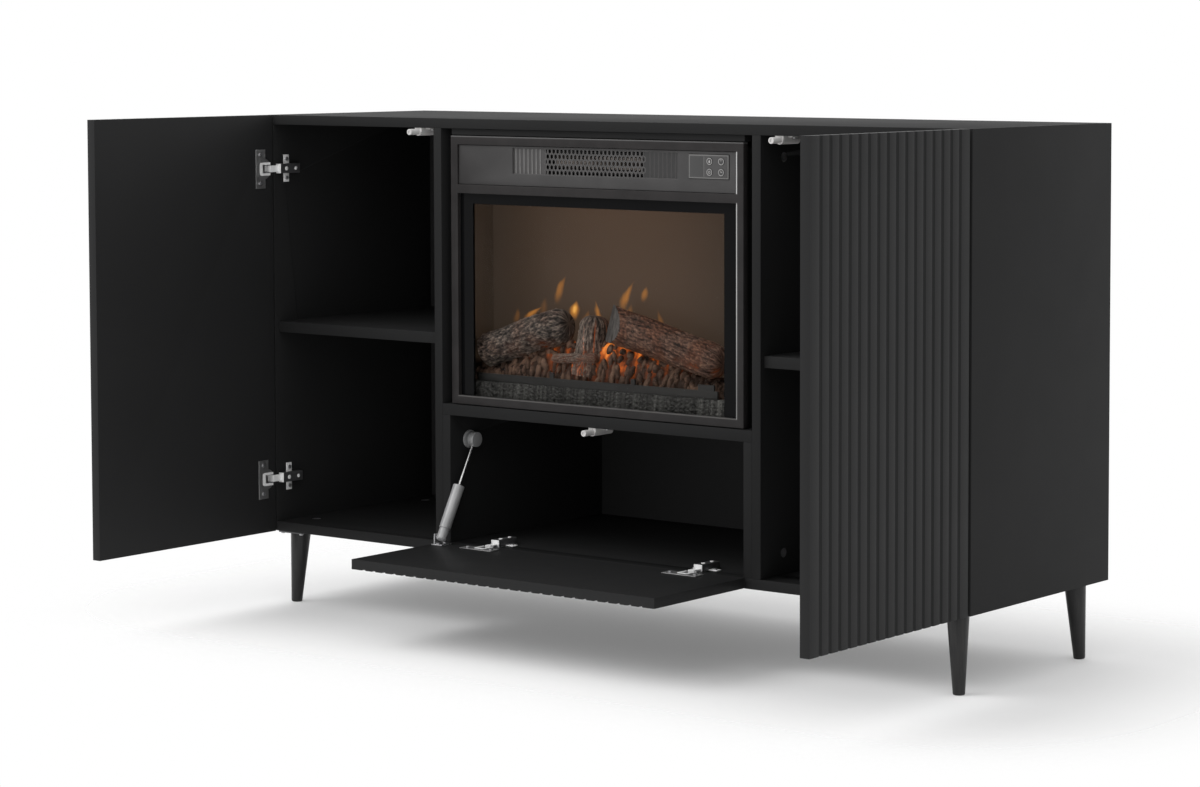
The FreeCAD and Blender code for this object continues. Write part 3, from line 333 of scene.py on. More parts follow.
def laminate(f, base, roughness, specular):
    """Board foil with a slow drift of tone, fine pores and rubbed places."""
    drift = f.noise(2.6)
    pores = f.noise(950.0, 2.0, 0.6)
    rubbed = f.noise(14.0, 4.0, 0.6)
    tone = f.mix(drift.rise(0.3, 0.7), tint(base, 0.93), tint(base, 1.07))
    return f.surface({
        "Base Color": f.mix(pores.rise(0.4, 0.75) * 0.35, tone, tint(base, 1.28)),
        "Roughness": roughness + (rubbed - 0.5) * 0.1 + (pores - 0.5) * 0.08,
        "Specular IOR Level": specular,
        "Normal": f.bump(pores, 0.05 * MM, 0.5)})


@finish
def carcass_board(f):
    return laminate(f, settings().boards.carcass_colour, 0.62, 0.08)


@finish
def front_board(f):
    return laminate(f, settings().boards.front_colour, 0.48, 0.1)


@finish
def back_board(f):
    fibre = f.noise(260.0, 4.0, 0.7, (1.0, 1.0, 2.6))
    drift = f.noise(3.0)
    return f.surface({
        "Base Color": f.mix(fibre * 0.6 + drift * 0.4, (0.020, 0.020, 0.0205), (0.036, 0.0355, 0.0355)),
        "Roughness": 0.6 + (fibre - 0.5) * 0.2,
        "Specular IOR Level": 0.2,
        "Normal": f.bump(fibre, 0.12 * MM, 0.5)})


@finish
def leg_wood(f):
    grain = f.noise(70.0, 4.0, 0.65, (6.0, 6.0, 0.35), 0.4)
    sheen = f.noise(18.0)
    return f.surface({
        "Base Color": f.mix(grain.rise(0.35, 0.7), (0.010, 0.010, 0.0105), (0.020, 0.0195, 0.019)),
        "Roughness": 0.36 + (sheen - 0.5) * 0.12 + (grain - 0.5) * 0.1,
        "Specular IOR Level": 0.35,
        "Normal": f.bump(grain, 0.1 * MM, 0.35)})


# Metals and plastics

def coated_metal(f, looks, specular=0.5, painted_highlights=None):
    """Paint or plate with a faint peel and clouds; a painted highlight may lighten its colour by place."""
    low, high, metallic, roughness = looks
    peel = f.noise(620.0, 2.0)
    cloud = f.noise(24.0, 4.0, 0.6)
    face = f.mix(cloud.rise(0.3, 0.7), low, high)
    return f.surface({
        "Base Color": painted_highlights(f, face) if painted_highlights else face,
        "Metallic": metallic,
        "Roughness": roughness + (cloud - 0.5) * 0.12 + (peel - 0.5) * 0.06,
        "Specular IOR Level": specular,
        "Normal": f.bump(peel, 0.04 * MM, 0.4)})


def brushed_metal(f, looks):
    """Bare steel with fine brush marks and smears."""
    low, high, metallic, roughness = looks
    brushed = f.noise(420.0, 3.0, 0.6, (0.15, 0.15, 1.0))
    smear = f.noise(60.0)
    return f.surface({
        "Base Color": f.mix(smear.rise(0.3, 0.75), low, high),
        "Metallic": metallic,
        "Roughness": roughness + brushed * 0.1 + smear * 0.08,
        "Normal": f.bump(brushed, 0.02 * MM, 0.4)})


def moulded(f, looks):
    """Plastic with a fine grain and slow flow marks."""
    base, roughness = looks
    grain = f.noise(1300.0, 2.0)
    flow = f.noise(45.0, 3.0, 0.5, (1.0, 0.3, 1.0))
    return f.surface({
        "Base Color": f.mix(flow.rise(0.3, 0.7), tint(base, 0.92), tint(base, 1.08)),
        "Roughness": roughness + (grain - 0.5) * 0.16,
        "Normal": f.bump(grain, 0.04 * MM, 0.4)})


# Darker tone, lighter tone, how metallic, how rough; the links' steel is a pale satin, a painted reflection
# that looks pale from all sides
list_finishes(coated_metal, {
    "dark_steel": ((0.075, 0.075, 0.078), (0.115, 0.115, 0.118), 0.55, 0.38),
    "strut_paint": ((0.36, 0.362, 0.365), (0.45, 0.452, 0.455), 0.25, 0.4),
    "plated_grey": ((0.34, 0.34, 0.342), (0.44, 0.44, 0.44), 0.85, 0.4),
    "insert_metal": ((0.029, 0.0275, 0.0275), (0.037, 0.035, 0.035), 0.0, 0.42),
    "inner_metal": ((0.0075, 0.0075, 0.0078), (0.012, 0.012, 0.012), 0.0, 0.58),
    "mesh_metal": ((0.068, 0.065, 0.064), (0.088, 0.084, 0.083), 0.0, 0.45),
    # The heater's dark tones are painted shade, for the shade behind the grille
    "heater_shade": ((0.018, 0.0175, 0.017), (0.028, 0.027, 0.026), 0.0, 0.6)})
list_finishes(brushed_metal, {
    "bright_steel": ((0.66, 0.66, 0.655), (0.86, 0.86, 0.85), 1.0, 0.17),
    # Pale, hardly metallic satin: a painted reflection in place of the plated steel's bright one
    "link_steel": ((0.86, 0.86, 0.855), (0.94, 0.94, 0.935), 0.1, 0.3)})

# Colour and roughness
list_finishes(moulded, {
    "latch_plastic": ((0.56, 0.55, 0.54), 0.42),
    "inlet_plastic": ((0.02, 0.02, 0.021), 0.42),
    "plunger_plastic": ((0.62, 0.61, 0.6), 0.38)})


@finish
def zinc_steel(f):
    spangle = f.cells(520.0)
    smear = f.noise(90.0)
    return f.surface({
        "Base Color": f.mix(spangle.rise(0.1, 0.8), (0.6, 0.6, 0.61), (0.44, 0.44, 0.45)),
        "Metallic": 0.95,
        "Roughness": 0.28 + smear * 0.2,
        "Normal": f.bump(spangle, 0.015 * MM, 0.4)})


# The insert

FRAME_TONES = ((0.022, 0.0204, 0.0204), (0.029, 0.0268, 0.0268), 0.0, 0.42)
SHEET_BLACK = ((0.0075, 0.0075, 0.0078), (0.012, 0.012, 0.012))
SHEET_MIRROR = ((0.6, 0.56, 0.52), (0.75, 0.71, 0.67))

# How far the front frame laps over the glass
GLASS_LIP = 4.7 * MM


def trim_highlights(f, face):
    """Painted highlights along the trim by the glass, by the bar's end and on the top edge; the one up the
    jamb grows brighter with height.
    """
    x, _, z = f.parts(f.place)
    _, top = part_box("insert_front_frame")
    glass_low, glass_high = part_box("front_glass")
    bar_low, bar_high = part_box("control_bar")
    sill, jamb, lintel = glass_low.z + GLASS_LIP, glass_high.x - GLASS_LIP, glass_high.z - GLASS_LIP
    # Masks of the painted highlights: thin lines by the sill, up the jamb, by the bar's end and along the top
    by_sill = z.near(sill - 0.9 * MM, 0.6 * MM, 0.5 * MM) * x.size().rise(jamb + 1 * MM, jamb)
    by_jamb = x.near(jamb + 1.1 * MM, 0.7 * MM, 0.6 * MM) * z.rise(sill - 2 * MM, sill) \
        * z.rise(lintel + 2 * MM, lintel - 2 * MM)
    by_bar = x.near(bar_high.x + 1.2 * MM, 0.9 * MM, 0.6 * MM) \
        * z.rise(bar_low.z - 1 * MM, bar_low.z + 1 * MM) * z.rise(bar_high.z + 1 * MM, bar_high.z - 1 * MM)
    on_top = z.rise(top.z - 2.2 * MM, top.z - 1.2 * MM)
    level = 0.45 + z.rise(sill + 20 * MM, sill + 190 * MM) * 0.55
    # Painted highlights, lighter than the frame's paint, laid over it
    highlighted = f.mix(on_top * 0.5, face, (0.17, 0.168, 0.168))
    highlighted = f.mix(by_sill * 0.3, highlighted, (0.24, 0.235, 0.225))
    highlighted = f.mix(by_jamb * level, highlighted, (0.46, 0.455, 0.45))
    return f.mix(by_bar, highlighted, (0.5, 0.5, 0.495))


@finish
def frame_metal(f):
    # Frame paint with painted highlights along its trim
    return coated_metal(f, FRAME_TONES, 0.14, trim_highlights)


@finish
def casing_metal(f):
    """Black sheet outside; inside, in front of the screen, it is polished and mirrors the glow."""
    x, y, z = f.parts(f.place)
    low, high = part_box("flame_screen")
    cloud = f.noise(24.0, 4.0, 0.6)
    inside = x.size().rise(high.x + 0.8 * MM, high.x + 0.3 * MM) * y.rise(high.y, low.y) \
        * z.rise(low.z - 1 * MM, low.z)
    return f.surface({
        "Base Color": f.mix(inside, f.mix(cloud, *SHEET_BLACK), f.mix(cloud, *SHEET_MIRROR)),
        "Metallic": inside,
        "Roughness": 0.58 - inside * 0.34 + (cloud - 0.5) * 0.1})


@finish
def louvre_metal(f):
    """Slat paint with painted light: at the left, noses brightened as painted highlights on a plain ground;
    at the right, plain noses on a ground darkened as painted shade.
    """
    x, y, _ = f.parts(f.place)
    low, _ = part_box("air_grille")
    # Painted light by place: the noses' front, and the right bank's side
    nose = y.rise(low.y + 0.75 * MM, low.y + 0.65 * MM)
    right = x.rise(-10 * MM, 10 * MM)
    streak = f.noise(90.0)
    # Painted highlight on the left bank's noses; the right bank's noses keep a plain tone
    nose_highlight = f.mix(right, f.mix(streak, (0.28, 0.276, 0.27), (0.38, 0.375, 0.37)), (0.047, 0.0445, 0.0445))
    # Ground of the slats and of the plates behind them, darker at the right as painted shade
    ground = f.mix(right, (0.044, 0.0415, 0.0415), (0.016, 0.0155, 0.0155))
    return f.surface({
        "Base Color": f.mix(nose, ground, nose_highlight),
        "Roughness": 0.4 + (streak - 0.5) * 0.12})


@finish
def fin_ceramic(f):
    bake = f.noise(60.0, 4.0, 0.6)
    return f.surface({
        "Base Color": f.mix(bake.rise(0.3, 0.7), (0.2, 0.17, 0.15), (0.32, 0.28, 0.25)),
        "Roughness": 0.5 + (bake - 0.5) * 0.2,
        "Normal": f.bump(bake, 0.1 * MM, 0.4)})


@finish
def panel_gloss(f):
    """Glossy panel with a printed outline and a dark display left of the buttons."""
    x, _, z = f.parts(f.place)
    low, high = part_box("control_panel")
    buttons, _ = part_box("heat_button")
    middle = (low + high) / 2
    dust = f.noise(900.0, 2.0).rise(0.66, 0.78)
    wipe = f.noise(30.0, 4.0, 0.6, (0.4, 1.0, 1.0))
    beside = (x - middle.x).size() - (high.x - middle.x)
    above = (z - middle.z).size() - (high.z - middle.z)
    outline = beside.most(above).near(-1.3 * MM, 0.5 * MM, 0.4 * MM)
    window = x.rise(low.x + 2.6 * MM, low.x + 3.2 * MM) * x.rise(buttons.x - 6.2 * MM, buttons.x - 6.8 * MM) \
        * z.near(middle.z, 15 * MM, 0.5 * MM)
    seam = x.near(buttons.x - 5.5 * MM, 0.4 * MM, 0.4 * MM) * z.near(middle.z, 15 * MM, 1 * MM)
    plain = f.mix(dust * 0.3, (0.030, 0.0285, 0.0285), (0.05, 0.05, 0.05))
    ground = f.mix(window, plain, (0.016, 0.0155, 0.0155))
    return f.surface({
        "Base Color": f.mix((outline * 0.55).most(seam * 0.3), ground, (0.2, 0.195, 0.19)),
        "Roughness": 0.16 + wipe * 0.1 + dust * 0.12,
        "Coat Weight": 0.5,
        "Coat Roughness": 0.08})


@finish
def clear_glass(f):
    """Clear pane with a black border printed on its left, right and top."""
    x, _, z = f.parts(f.place)
    low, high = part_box("front_glass")
    left = (x - low.x - GLASS_LIP).rise(26.5 * MM, 25.5 * MM)
    right = (high.x - GLASS_LIP - x).rise(28.5 * MM, 27.5 * MM)
    border = left.most(right).most((high.z - GLASS_LIP - z).rise(17.5 * MM, 16.5 * MM))
    film = f.noise(6.0)
    turned = f.add("ShaderNodeLayerWeight", None, None, "Facing")
    clear = f.add("ShaderNodeBsdfTransparent", None, {"Color": colour((0.94, 0.935, 0.925))})
    gloss = f.add("ShaderNodeBsdfPrincipled", None, {
        "Base Color": f.mix(film, (0.004, 0.004, 0.0045), (0.006, 0.006, 0.0062)),
        "Roughness": 0.03 + film * 0.03,
        "Specular IOR Level": 0.05})
    share = (turned ** 4.0 * 0.3 + 0.006).most(border)
    return f.close(f.add("ShaderNodeMixShader", None, {0: share, 1: clear, 2: gloss}))


@finish
def lamp_white(f):
    speck = f.noise(300.0)
    return f.surface({
        "Base Color": f.mix(speck, (0.62, 0.58, 0.5), (0.8, 0.75, 0.65)),
        "Roughness": 0.5 + speck * 0.1})


@finish
def circuit_green(f):
    tracks = f.cells(420.0, "DISTANCE_TO_EDGE").rise(0.02, 0.08)
    mask = f.noise(160.0, 2.0)
    return f.surface({
        "Base Color": f.mix(tracks, (0.05, 0.22, 0.1), (0.02, 0.11, 0.05)),
        "Roughness": 0.32 + mask * 0.15,
        "Normal": f.bump(tracks, 0.05 * MM, 0.4)})


# Signs on the buttons: each draws a mask from the distance to the button's middle, in button radii

def ring_sign(x, z, radius=0.86, width=0.1):
    return (x * x + z * z).root().near(radius, width * 0.4, width * 0.6)


def stroke_sign(x, z, place, half):
    """An upright or level stroke round a place."""
    return x.near(place[0], half[0], 0.05) * z.near(place[1], half[1], 0.05)


def flame_sign(x, z):
    drop = (x * x + (z + 0.14) * (z + 0.14)).root().rise(0.34, 0.26)
    tip = (x.size() * 1.7 + z * 0.8 - 0.36).rise(0.1, 0.0) * z.rise(-0.14, -0.04)
    return ring_sign(x, z).most(drop).most(tip)


def power_sign(x, z):
    gap = x.size().rise(0.14, 0.2).most(z.rise(0.1, 0.0))
    return (ring_sign(x, z) * gap).most(stroke_sign(x, z, (0.0, 0.5), (0.06, 0.36)))


def heat_sign(x, z):
    return ring_sign(x, z).most(ring_sign(x, z, 0.3, 0.09))


def timer_sign(x, z):
    hands = stroke_sign(x, z, (0.0, 0.2), (0.06, 0.26)).most(stroke_sign(x, z, (0.16, 0.0), (0.2, 0.06)))
    return ring_sign(x, z).most(hands)


def button_face(f, looks):
    """A dark button with its sign printed on its front."""
    node, sign = looks
    low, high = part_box(node)
    middle = (low + high) / 2
    radius = (high.x - low.x) / 2
    x, y, z = f.parts(f.place)
    front = y.rise(low.y + 0.5 * MM, low.y + 0.2 * MM)
    mark = sign((x - middle.x) / radius, (z - middle.z) / radius) * front
    smear = f.noise(700.0, 2.0)
    plain = f.mix(smear, (0.028, 0.0275, 0.0275), (0.036, 0.0355, 0.0355))
    return f.surface({
        "Base Color": f.mix(mark, plain, (0.42, 0.41, 0.405)),
        "Roughness": 0.3 + smear * 0.12})


list_finishes(button_face, {
    "power_button_face": ("power_button", power_sign),
    "flame_button_face": ("flame_button", flame_sign),
    "heat_button_face": ("heat_button", heat_sign),
    "timer_button_face": ("timer_button", timer_sign)})


# Fire

# Flames on the screen, in millimetres across from the middle and up from the hearth: the foot's place, the
# height, how far the tip leans to the right, the half width, and the level
FLAMES = (
    (-152, 162, 46, 18, 10.0, 0.3),
    (-178, 136, 36, 6, 9.0, 0.08),
    (-116, 138, 31, 6, 12.5, 0.72),
    (-62, 124, 48, -12, 7.5, 0.36),
    (-92, 126, 30, 6, 10.0, 0.14),
    (-18, 154, 51, 27, 10.5, 0.36),
    (28, 173, 25, 4, 9.5, 0.3),
    (-212, 130, 26, 36, 13.0, 0.42),
    (-238, 122, 30, 4, 8.0, 0.1),
    (64, 116, 48, -10, 9.0, 0.14),
    (-4, 140, 30, 4, 10.0, 0.12),
)
SCREEN_GLOW = (0.083, 0.0515, 0.034)
SCREEN_SHADE = (0.027, 0.0195, 0.014)
FLAME_HEART = (0.95, 0.5, 0.11)
UNLIT = (0.0, 0.0, 0.0)


def flames(x, z, hearth, wisp):
    """A mask of the flames over the logs, each a leaning drop with wavering edges."""
    fire = None
    for foot_x, foot_z, height, lean, width, power in FLAMES:
        climb = (z - (hearth + foot_z * MM)) / (height * MM)
        middle = foot_x * MM + climb * climb * (lean * MM) + (wisp - 0.5) * 0.02
        belly = width * MM * (climb.rise(-0.4, 0.4) * 0.7 + 0.3) * climb.rise(1.15, 0.5)
        inside = ((x - middle).size() / belly.most(0.2 * MM)).rise(1.0, 0.0)
        one = inside * climb.rise(-0.1, 0.5) * climb.rise(1.05, 0.6) * power
        fire = one if fire is None else fire.most(one)
    return fire


@finish
def screen_film(f):
    """Smoked screen: a warm even glow that fades to its sides and foot, with flames over the logs."""
    x, _, z = f.parts(f.place)
    low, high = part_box("flame_screen")
    across = (x / high.x + 0.04).size()
    up = (z - low.z) / (high.z - low.z)
    wisp = f.noise(34.0, 3.0, 0.6, (1.0, 1.0, 0.45))
    weave = f.noise(900.0, 1.0)
    cloud = f.noise(5.0)
    level = across.rise(1.2, 0.1) * up.rise(-0.05, 0.62) * (0.86 + (cloud - 0.5) * 0.35)
    glow = f.mix((level * (0.98 + (weave - 0.5) * 0.3)).least(1.0), SCREEN_SHADE, SCREEN_GLOW)
    fire = flames(x, z, low.z, wisp)
    lit = f.mix(fire.rise(0.4, 0.85), settings().fire.flame_colour, FLAME_HEART)
    return f.surface({
        "Base Color": colour((0.012, 0.011, 0.01)),
        "Roughness": 0.38 + (weave - 0.5) * 0.1,
        "Specular IOR Level": 0.1,
        "Emission Color": f.mix((fire * 1.5).least(1.0), glow, lit),
        "Emission Strength": 1.0})


@finish
def log_resin(f):
    """Bark that is ash grey where it stands out, black in its cracks, and painted with a red glow low down,
    as painted light from the embers below.
    """
    low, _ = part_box("ember_bed")
    x, _, z = f.parts(f.place)
    ridge, split, sawn = f.mark("ridge"), f.mark("split"), f.mark("cut")
    fleck = f.noise(240.0, 4.0, 0.65)
    patch = f.noise(26.0)
    relief = ridge * 0.75 + fleck * 0.25
    grey = f.ramp(relief, [
        (0.22, (0.011, 0.009, 0.008)), (0.4, (0.065, 0.053, 0.046)),
        (0.6, (0.2, 0.16, 0.135)), (0.86, (0.48, 0.41, 0.36))])
    brown = f.ramp(relief, [
        (0.22, (0.010, 0.0065, 0.005)), (0.5, (0.1, 0.044, 0.027)), (0.88, (0.32, 0.16, 0.1))])
    warm = (patch.rise(0.4, 0.62) * 0.4 + x.rise(-60 * MM, 10 * MM) * 0.75).least(1.0)
    grain = f.noise(90.0, 4.0, 0.7, (1.6, 1.6, 0.35)).rise(0.3, 0.75)
    wood = f.mix(grain, (0.035, 0.033, 0.032), (0.15, 0.14, 0.136))
    height = (z - low.z) / (100 * MM)
    # Painted light: a red glow on the logs' lower parts, where the embers below would light them
    heat = height.rise(1.25, 0.55) * x.rise(-230 * MM, -130 * MM)
    lit = heat * patch.rise(0.35, 0.65) * ridge.rise(0.42, 0.12) * 0.4
    glow = tint(settings().fire.glow_colour, 0.62)
    return f.surface({
        "Base Color": f.mix(sawn, f.mix(warm, grey, brown), wood),
        "Roughness": 0.74 + (fleck - 0.5) * 0.25,
        "Specular IOR Level": 0.3,
        "Emission Color": f.mix(lit.most(split * 0.5).least(1.0), UNLIT, glow),
        "Emission Strength": 1.0,
        "Normal": f.bump(fleck, 0.5 * MM, 0.6)})


@finish
def ember_resin(f):
    """Charred fingers that glow in the gaps between them, most in the middle and high in the heap; their
    colour darkens into the cracks as painted shade.
    """
    low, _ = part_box("ember_bed")
    x, _, z = f.parts(f.place)
    rise = f.mark("rise")
    fleck = f.noise(300.0, 4.0, 0.65)
    patch = f.noise(24.0, 3.0, 0.6)
    lump = f.noise(62.0, 2.0, 0.5, (1.0, 1.0, 0.5))
    middle = ((x - 5 * MM) / (215 * MM)).size().rise(1.1, 0.2)
    up = (z - low.z).rise(50 * MM, 84 * MM)
    heat = middle * (up * 0.75 + 0.25) * (patch.rise(0.34, 0.6) * 0.75 + 0.25)
    burning = heat * (rise.rise(0.62, 0.16) + fleck.rise(0.5, 0.74) * 0.22)
    glow = settings().fire.glow_colour
    # Painted light in the colour: dark in the cracks and on the coals' faces turned back and down, lighter on
    # the tips and on faces turned up and to the front
    return f.surface({
        "Base Color": f.ramp(rise * 0.6 + fleck * 0.36 + (lump - 0.5) * 0.7, [
            (0.28, (0.005, 0.0033, 0.0027)), (0.55, (0.048, 0.027, 0.0185)), (0.9, (0.23, 0.14, 0.098))]),
        "Roughness": 0.8 + (fleck - 0.5) * 0.25,
        "Specular IOR Level": 0.25,
        "Emission Color": f.ramp(burning, [
            (0.06, UNLIT), (0.35, tint(glow, 0.12)), (0.7, tint(glow, 0.5)), (1.0, (0.9, 0.27, 0.045))]),
        "Emission Strength": 1.0,
        "Normal": f.bump(fleck, 0.4 * MM, 0.6)})


@finish
def ash_grey(f):
    rise = f.mark("rise")
    fleck = f.noise(360.0, 4.0, 0.7)
    # Painted light: near black in the cracks as painted shade, light grey on the ridges as painted highlight
    return f.surface({
        "Base Color": f.ramp(rise * 0.7 + fleck * 0.3, [
            (0.3, (0.008, 0.0081, 0.0077)), (0.56, (0.05, 0.0505, 0.0485)), (0.84, (0.27, 0.272, 0.262))]),
        "Roughness": 0.6 + (fleck - 0.5) * 0.25,
        "Specular IOR Level": 0.4,
        "Normal": f.bump(fleck, 0.4 * MM, 0.6)})


# Pieces

def paint(*nodes, look=None):
    """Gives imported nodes, as they are, their slot's finish or another one."""
    for node in nodes:
        mesh = NODES[node].data
        mesh.materials.clear()
        mesh.materials.append(finish_of(look or SLOT_OF[node]))


def dress(name, mesh, node, look=None, smooth=CORNER_TURN):
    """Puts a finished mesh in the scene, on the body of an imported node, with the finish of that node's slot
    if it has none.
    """
    if not mesh.materials:
        mesh.materials.append(finish_of(look or SLOT_OF[node]))
    mesh.shade_smooth()
    mesh.set_sharp_from_angle(angle=smooth)
    piece = bpy.data.objects.new(name, mesh)
    bpy.context.scene.collection.objects.link(piece)
    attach(piece, BODY_OF[node])
    return piece


def stand_in(name, mesh, node, look=None, smooth=CORNER_TURN):
    """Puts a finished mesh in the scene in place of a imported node."""
    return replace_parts(dress(name, mesh, node, look, smooth), node)


def mesh_of(name, solid, outward=False):
    """The mesh of a solid, with its faces turned outward if asked."""
    if outward:
        bmesh.ops.recalc_face_normals(solid, faces=solid.faces)
    mesh = bpy.data.meshes.new(name)
    solid.to_mesh(mesh)
    solid.free()
    return mesh


def merged(source):
    """A solid from a mesh, with its doubled points merged."""
    solid = bmesh.new()
    solid.from_mesh(source)
    bmesh.ops.remove_doubles(solid, verts=solid.verts, dist=MERGE_STEP)
    return solid


def bridge(solid, low, high):
    """Faces between two closed loops of as many points."""
    for i in range(len(low)):
        j = (i + 1) % len(low)
        solid.faces.new((low[i], low[j], high[j], high[i]))


def ease(solid, width, shortest):
    """Rounds off a solid's corners along every edge longer than shortest."""
    corners = []
    for edge in solid.edges:
        if len(edge.link_faces) == 2 and edge.calc_length() > shortest:
            if edge.calc_face_angle() > CORNER_TURN:
                corners.append(edge)
    bmesh.ops.bevel(solid, geom=corners, offset=width, offset_type="OFFSET", segments=2, profile=0.6,
                    affect="EDGES", clamp_overlap=True)


def eased_mesh(name, source, width, shortest):
    """A merged copy of a mesh with its long corners rounded off."""
    solid = merged(source)
    bmesh.ops.dissolve_limit(solid, angle_limit=FLAT_TURN, verts=solid.verts, edges=solid.edges)
    ease(solid, width, shortest)
    return mesh_of(name, solid)


def eased_nodes(nodes, width, shortest, look=None):
    """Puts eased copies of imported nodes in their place."""
    for node in nodes:
        name = node + "_eased"
        stand_in(name, eased_mesh(name, NODES[node].data, width, shortest), node, look)


def joined_mesh(name, meshes):
    """One mesh of several, each keeping its own material."""
    solid = bmesh.new()
    mesh = bpy.data.meshes.new(name)
    for piece in meshes:
        used = piece.polygons[0].material_index
        material = piece.materials[used] if used < len(piece.materials) else None
        if material and material.name not in mesh.materials:
            mesh.materials.append(material)
        begin = len(solid.faces)
        solid.from_mesh(piece)
        solid.faces.ensure_lookup_table()
        for face in solid.faces[begin:]:
            face.material_index = mesh.materials.find(material.name) if material else 0
    solid.to_mesh(mesh)
    solid.free()
    return mesh


def block_mesh(name, low, high):
    """A plain block between two corners."""
    low, high = Vector(low), Vector(high)
    solid = bmesh.new()
    place = Matrix.Translation((low + high) / 2) @ Matrix.Diagonal((*(high - low), 1.0))
    bmesh.ops.create_cube(solid, size=1.0, matrix=place)
    return mesh_of(name, solid)


def lathe(name, rings, sides):
    """A round piece through rings, each a centre and a radius, square to the line of centres."""
    run = (rings[-1][0] - rings[0][0]).normalized()
    across = run.orthogonal().normalized()
    beside = run.cross(across)
    solid = bmesh.new()
    loops = []
    for centre, radius in rings:
        loop = []
        for i in range(sides):
            turn = 2 * math.pi * i / sides
            out = across * math.cos(turn) + beside * math.sin(turn)
            loop.append(solid.verts.new(centre + out * radius))
        loops.append(loop)
    for low, high in zip(loops, loops[1:]):
        bridge(solid, low, high)
    solid.faces.new(list(reversed(loops[0])))
    solid.faces.new(loops[-1])
    return mesh_of(name, solid, True)


def span(points, axis):
    """The lowest and the highest place of points along an axis."""
    places = [point[axis] for point in points]
    return min(places), max(places)


def halves(points):
    """Points of two like things, split where they lie furthest apart."""
    spans = [span(points, axis) for axis in range(3)]
    sizes = [high - low for low, high in spans]
    axis = sizes.index(max(sizes))
    middle = sum(spans[axis]) / 2
    return [[p for p in points if p[axis] < middle], [p for p in points if p[axis] >= middle]]


def island_boxes(mesh):
    """The box of each separate piece of a mesh."""
    solid = merged(mesh)
    waiting = set(solid.verts)
    boxes = []
    while waiting:
        reached = [waiting.pop()]
        points = []
        while reached:
            vert = reached.pop()
            points.append(vert.co.copy())
            for edge in vert.link_edges:
                other = edge.other_vert(vert)
                if other in waiting:
                    waiting.remove(other)
                    reached.append(other)
        spans = [span(points, axis) for axis in range(3)]
        boxes.append(tuple(Vector(corner) for corner in zip(*spans)))
    solid.free()
    return sorted(boxes, key=lambda box: tuple(box[0]))


# Geometry node trees

QUARTER_TURN = (math.radians(90), 0.0, 0.0)
HEXAGON_TURN = (0.0, 0.0, math.radians(30))


class Recipe(Graph):
    """A geometry node tree with named inputs."""

    def __init__(self, name):
        super().__init__(bpy.data.node_groups.new(name, "GeometryNodeTree"))
        self.tree.interface.new_socket("Geometry", in_out="OUTPUT", socket_type="NodeSocketGeometry")
        self.entry = self.tree.nodes.new("NodeGroupInput")

    def input(self, name, kind="Float"):
        self.tree.interface.new_socket(name, in_out="INPUT", socket_type="NodeSocket" + kind)
        return Value(self, self.entry.outputs[name])

    def inputs(self, *names):
        return [self.input(name) for name in names]

    def index(self):
        return self.add("GeometryNodeInputIndex")

    def position(self):
        return self.parts(self.add("GeometryNodeInputPosition"))

    def random(self, low, high, seed):
        """Three random numbers for each point."""
        settings = {"data_type": "FLOAT_VECTOR"}
        return self.parts(self.add("FunctionNodeRandomValue", settings, {0: low, 1: high, 8: seed}))

    def grid(self, columns, rows):
        return self.add("GeometryNodeMeshGrid", None, {
            "Size X": 1.0, "Size Y": 1.0, "Vertices X": columns, "Vertices Y": rows})

    def moved(self, geometry, **how):
        return self.add("GeometryNodeSetPosition", None, {"Geometry": geometry, **how})

    def changed(self, geometry, **how):
        return self.add("GeometryNodeTransform", None, {"Geometry": geometry, **how})

    def pushed(self, mesh, offset, mode="FACES"):
        sockets = {"Mesh": mesh, "Offset": offset}
        if mode == "FACES":
            sockets["Individual"] = False
        return self.add("GeometryNodeExtrudeMesh", {"mode": mode}, sockets)

    def flipped(self, mesh):
        return self.add("GeometryNodeFlipFaces", None, {"Mesh": mesh})

    def strewn(self, points, instance, **how):
        return self.add("GeometryNodeInstanceOnPoints", None, {"Points": points, "Instance": instance, **how})

    def marked(self, geometry, name, value):
        """Keeps a value at the geometry's points for its finish."""
        settings = {"data_type": "FLOAT", "domain": "POINT"}
        sockets = {"Geometry": geometry, "Name": name, "Value": value}
        return self.add("GeometryNodeStoreNamedAttribute", settings, sockets)

    def backed(self, sheet, depth, back):
        """Sides and a flat back at y = back, pushed out from a sheet."""
        body = self.pushed(sheet, self.vector(0.0, depth, 0.0))
        x, _, z = self.position()
        return self.moved(body, Position=self.vector(x, back, z), Selection=self.more(body, "Top"))

    def welded(self, *pieces):
        joined = self.add("GeometryNodeJoinGeometry", None, {"Geometry": list(pieces)})
        return self.add("GeometryNodeMergeByDistance", None, {"Geometry": joined, "Distance": MERGE_STEP})

    def close(self, geometry, material):
        plain = self.add("GeometryNodeRealizeInstances", None, {"Geometry": geometry})
        done = self.add("GeometryNodeSetMaterial", None, {"Geometry": plain, "Material": material})
        self.add("NodeGroupOutput", None, {0: done})
        return self.tree


def grown(name, tree, sizes):
    """The plain mesh that a tree makes from these sizes."""
    host = bpy.data.objects.new(name, bpy.data.meshes.new(name))
    bpy.context.scene.collection.objects.link(host)
    modifier = host.modifiers.new(name, "NODES")
    modifier.node_group = tree
    for socket in tree.interface.items_tree:
        if socket.in_out == "INPUT":
            modifier[socket.identifier] = sizes[socket.name]
    graph = bpy.context.evaluated_depsgraph_get()
    mesh = bpy.data.meshes.new_from_object(host.evaluated_get(graph))
    bpy.data.objects.remove(host)
    if not mesh.polygons:
        raise RuntimeError(name + " came out empty")
    mesh.name = name
    return mesh


FLUTE_STEPS = 10
BORE_SIDES = 48


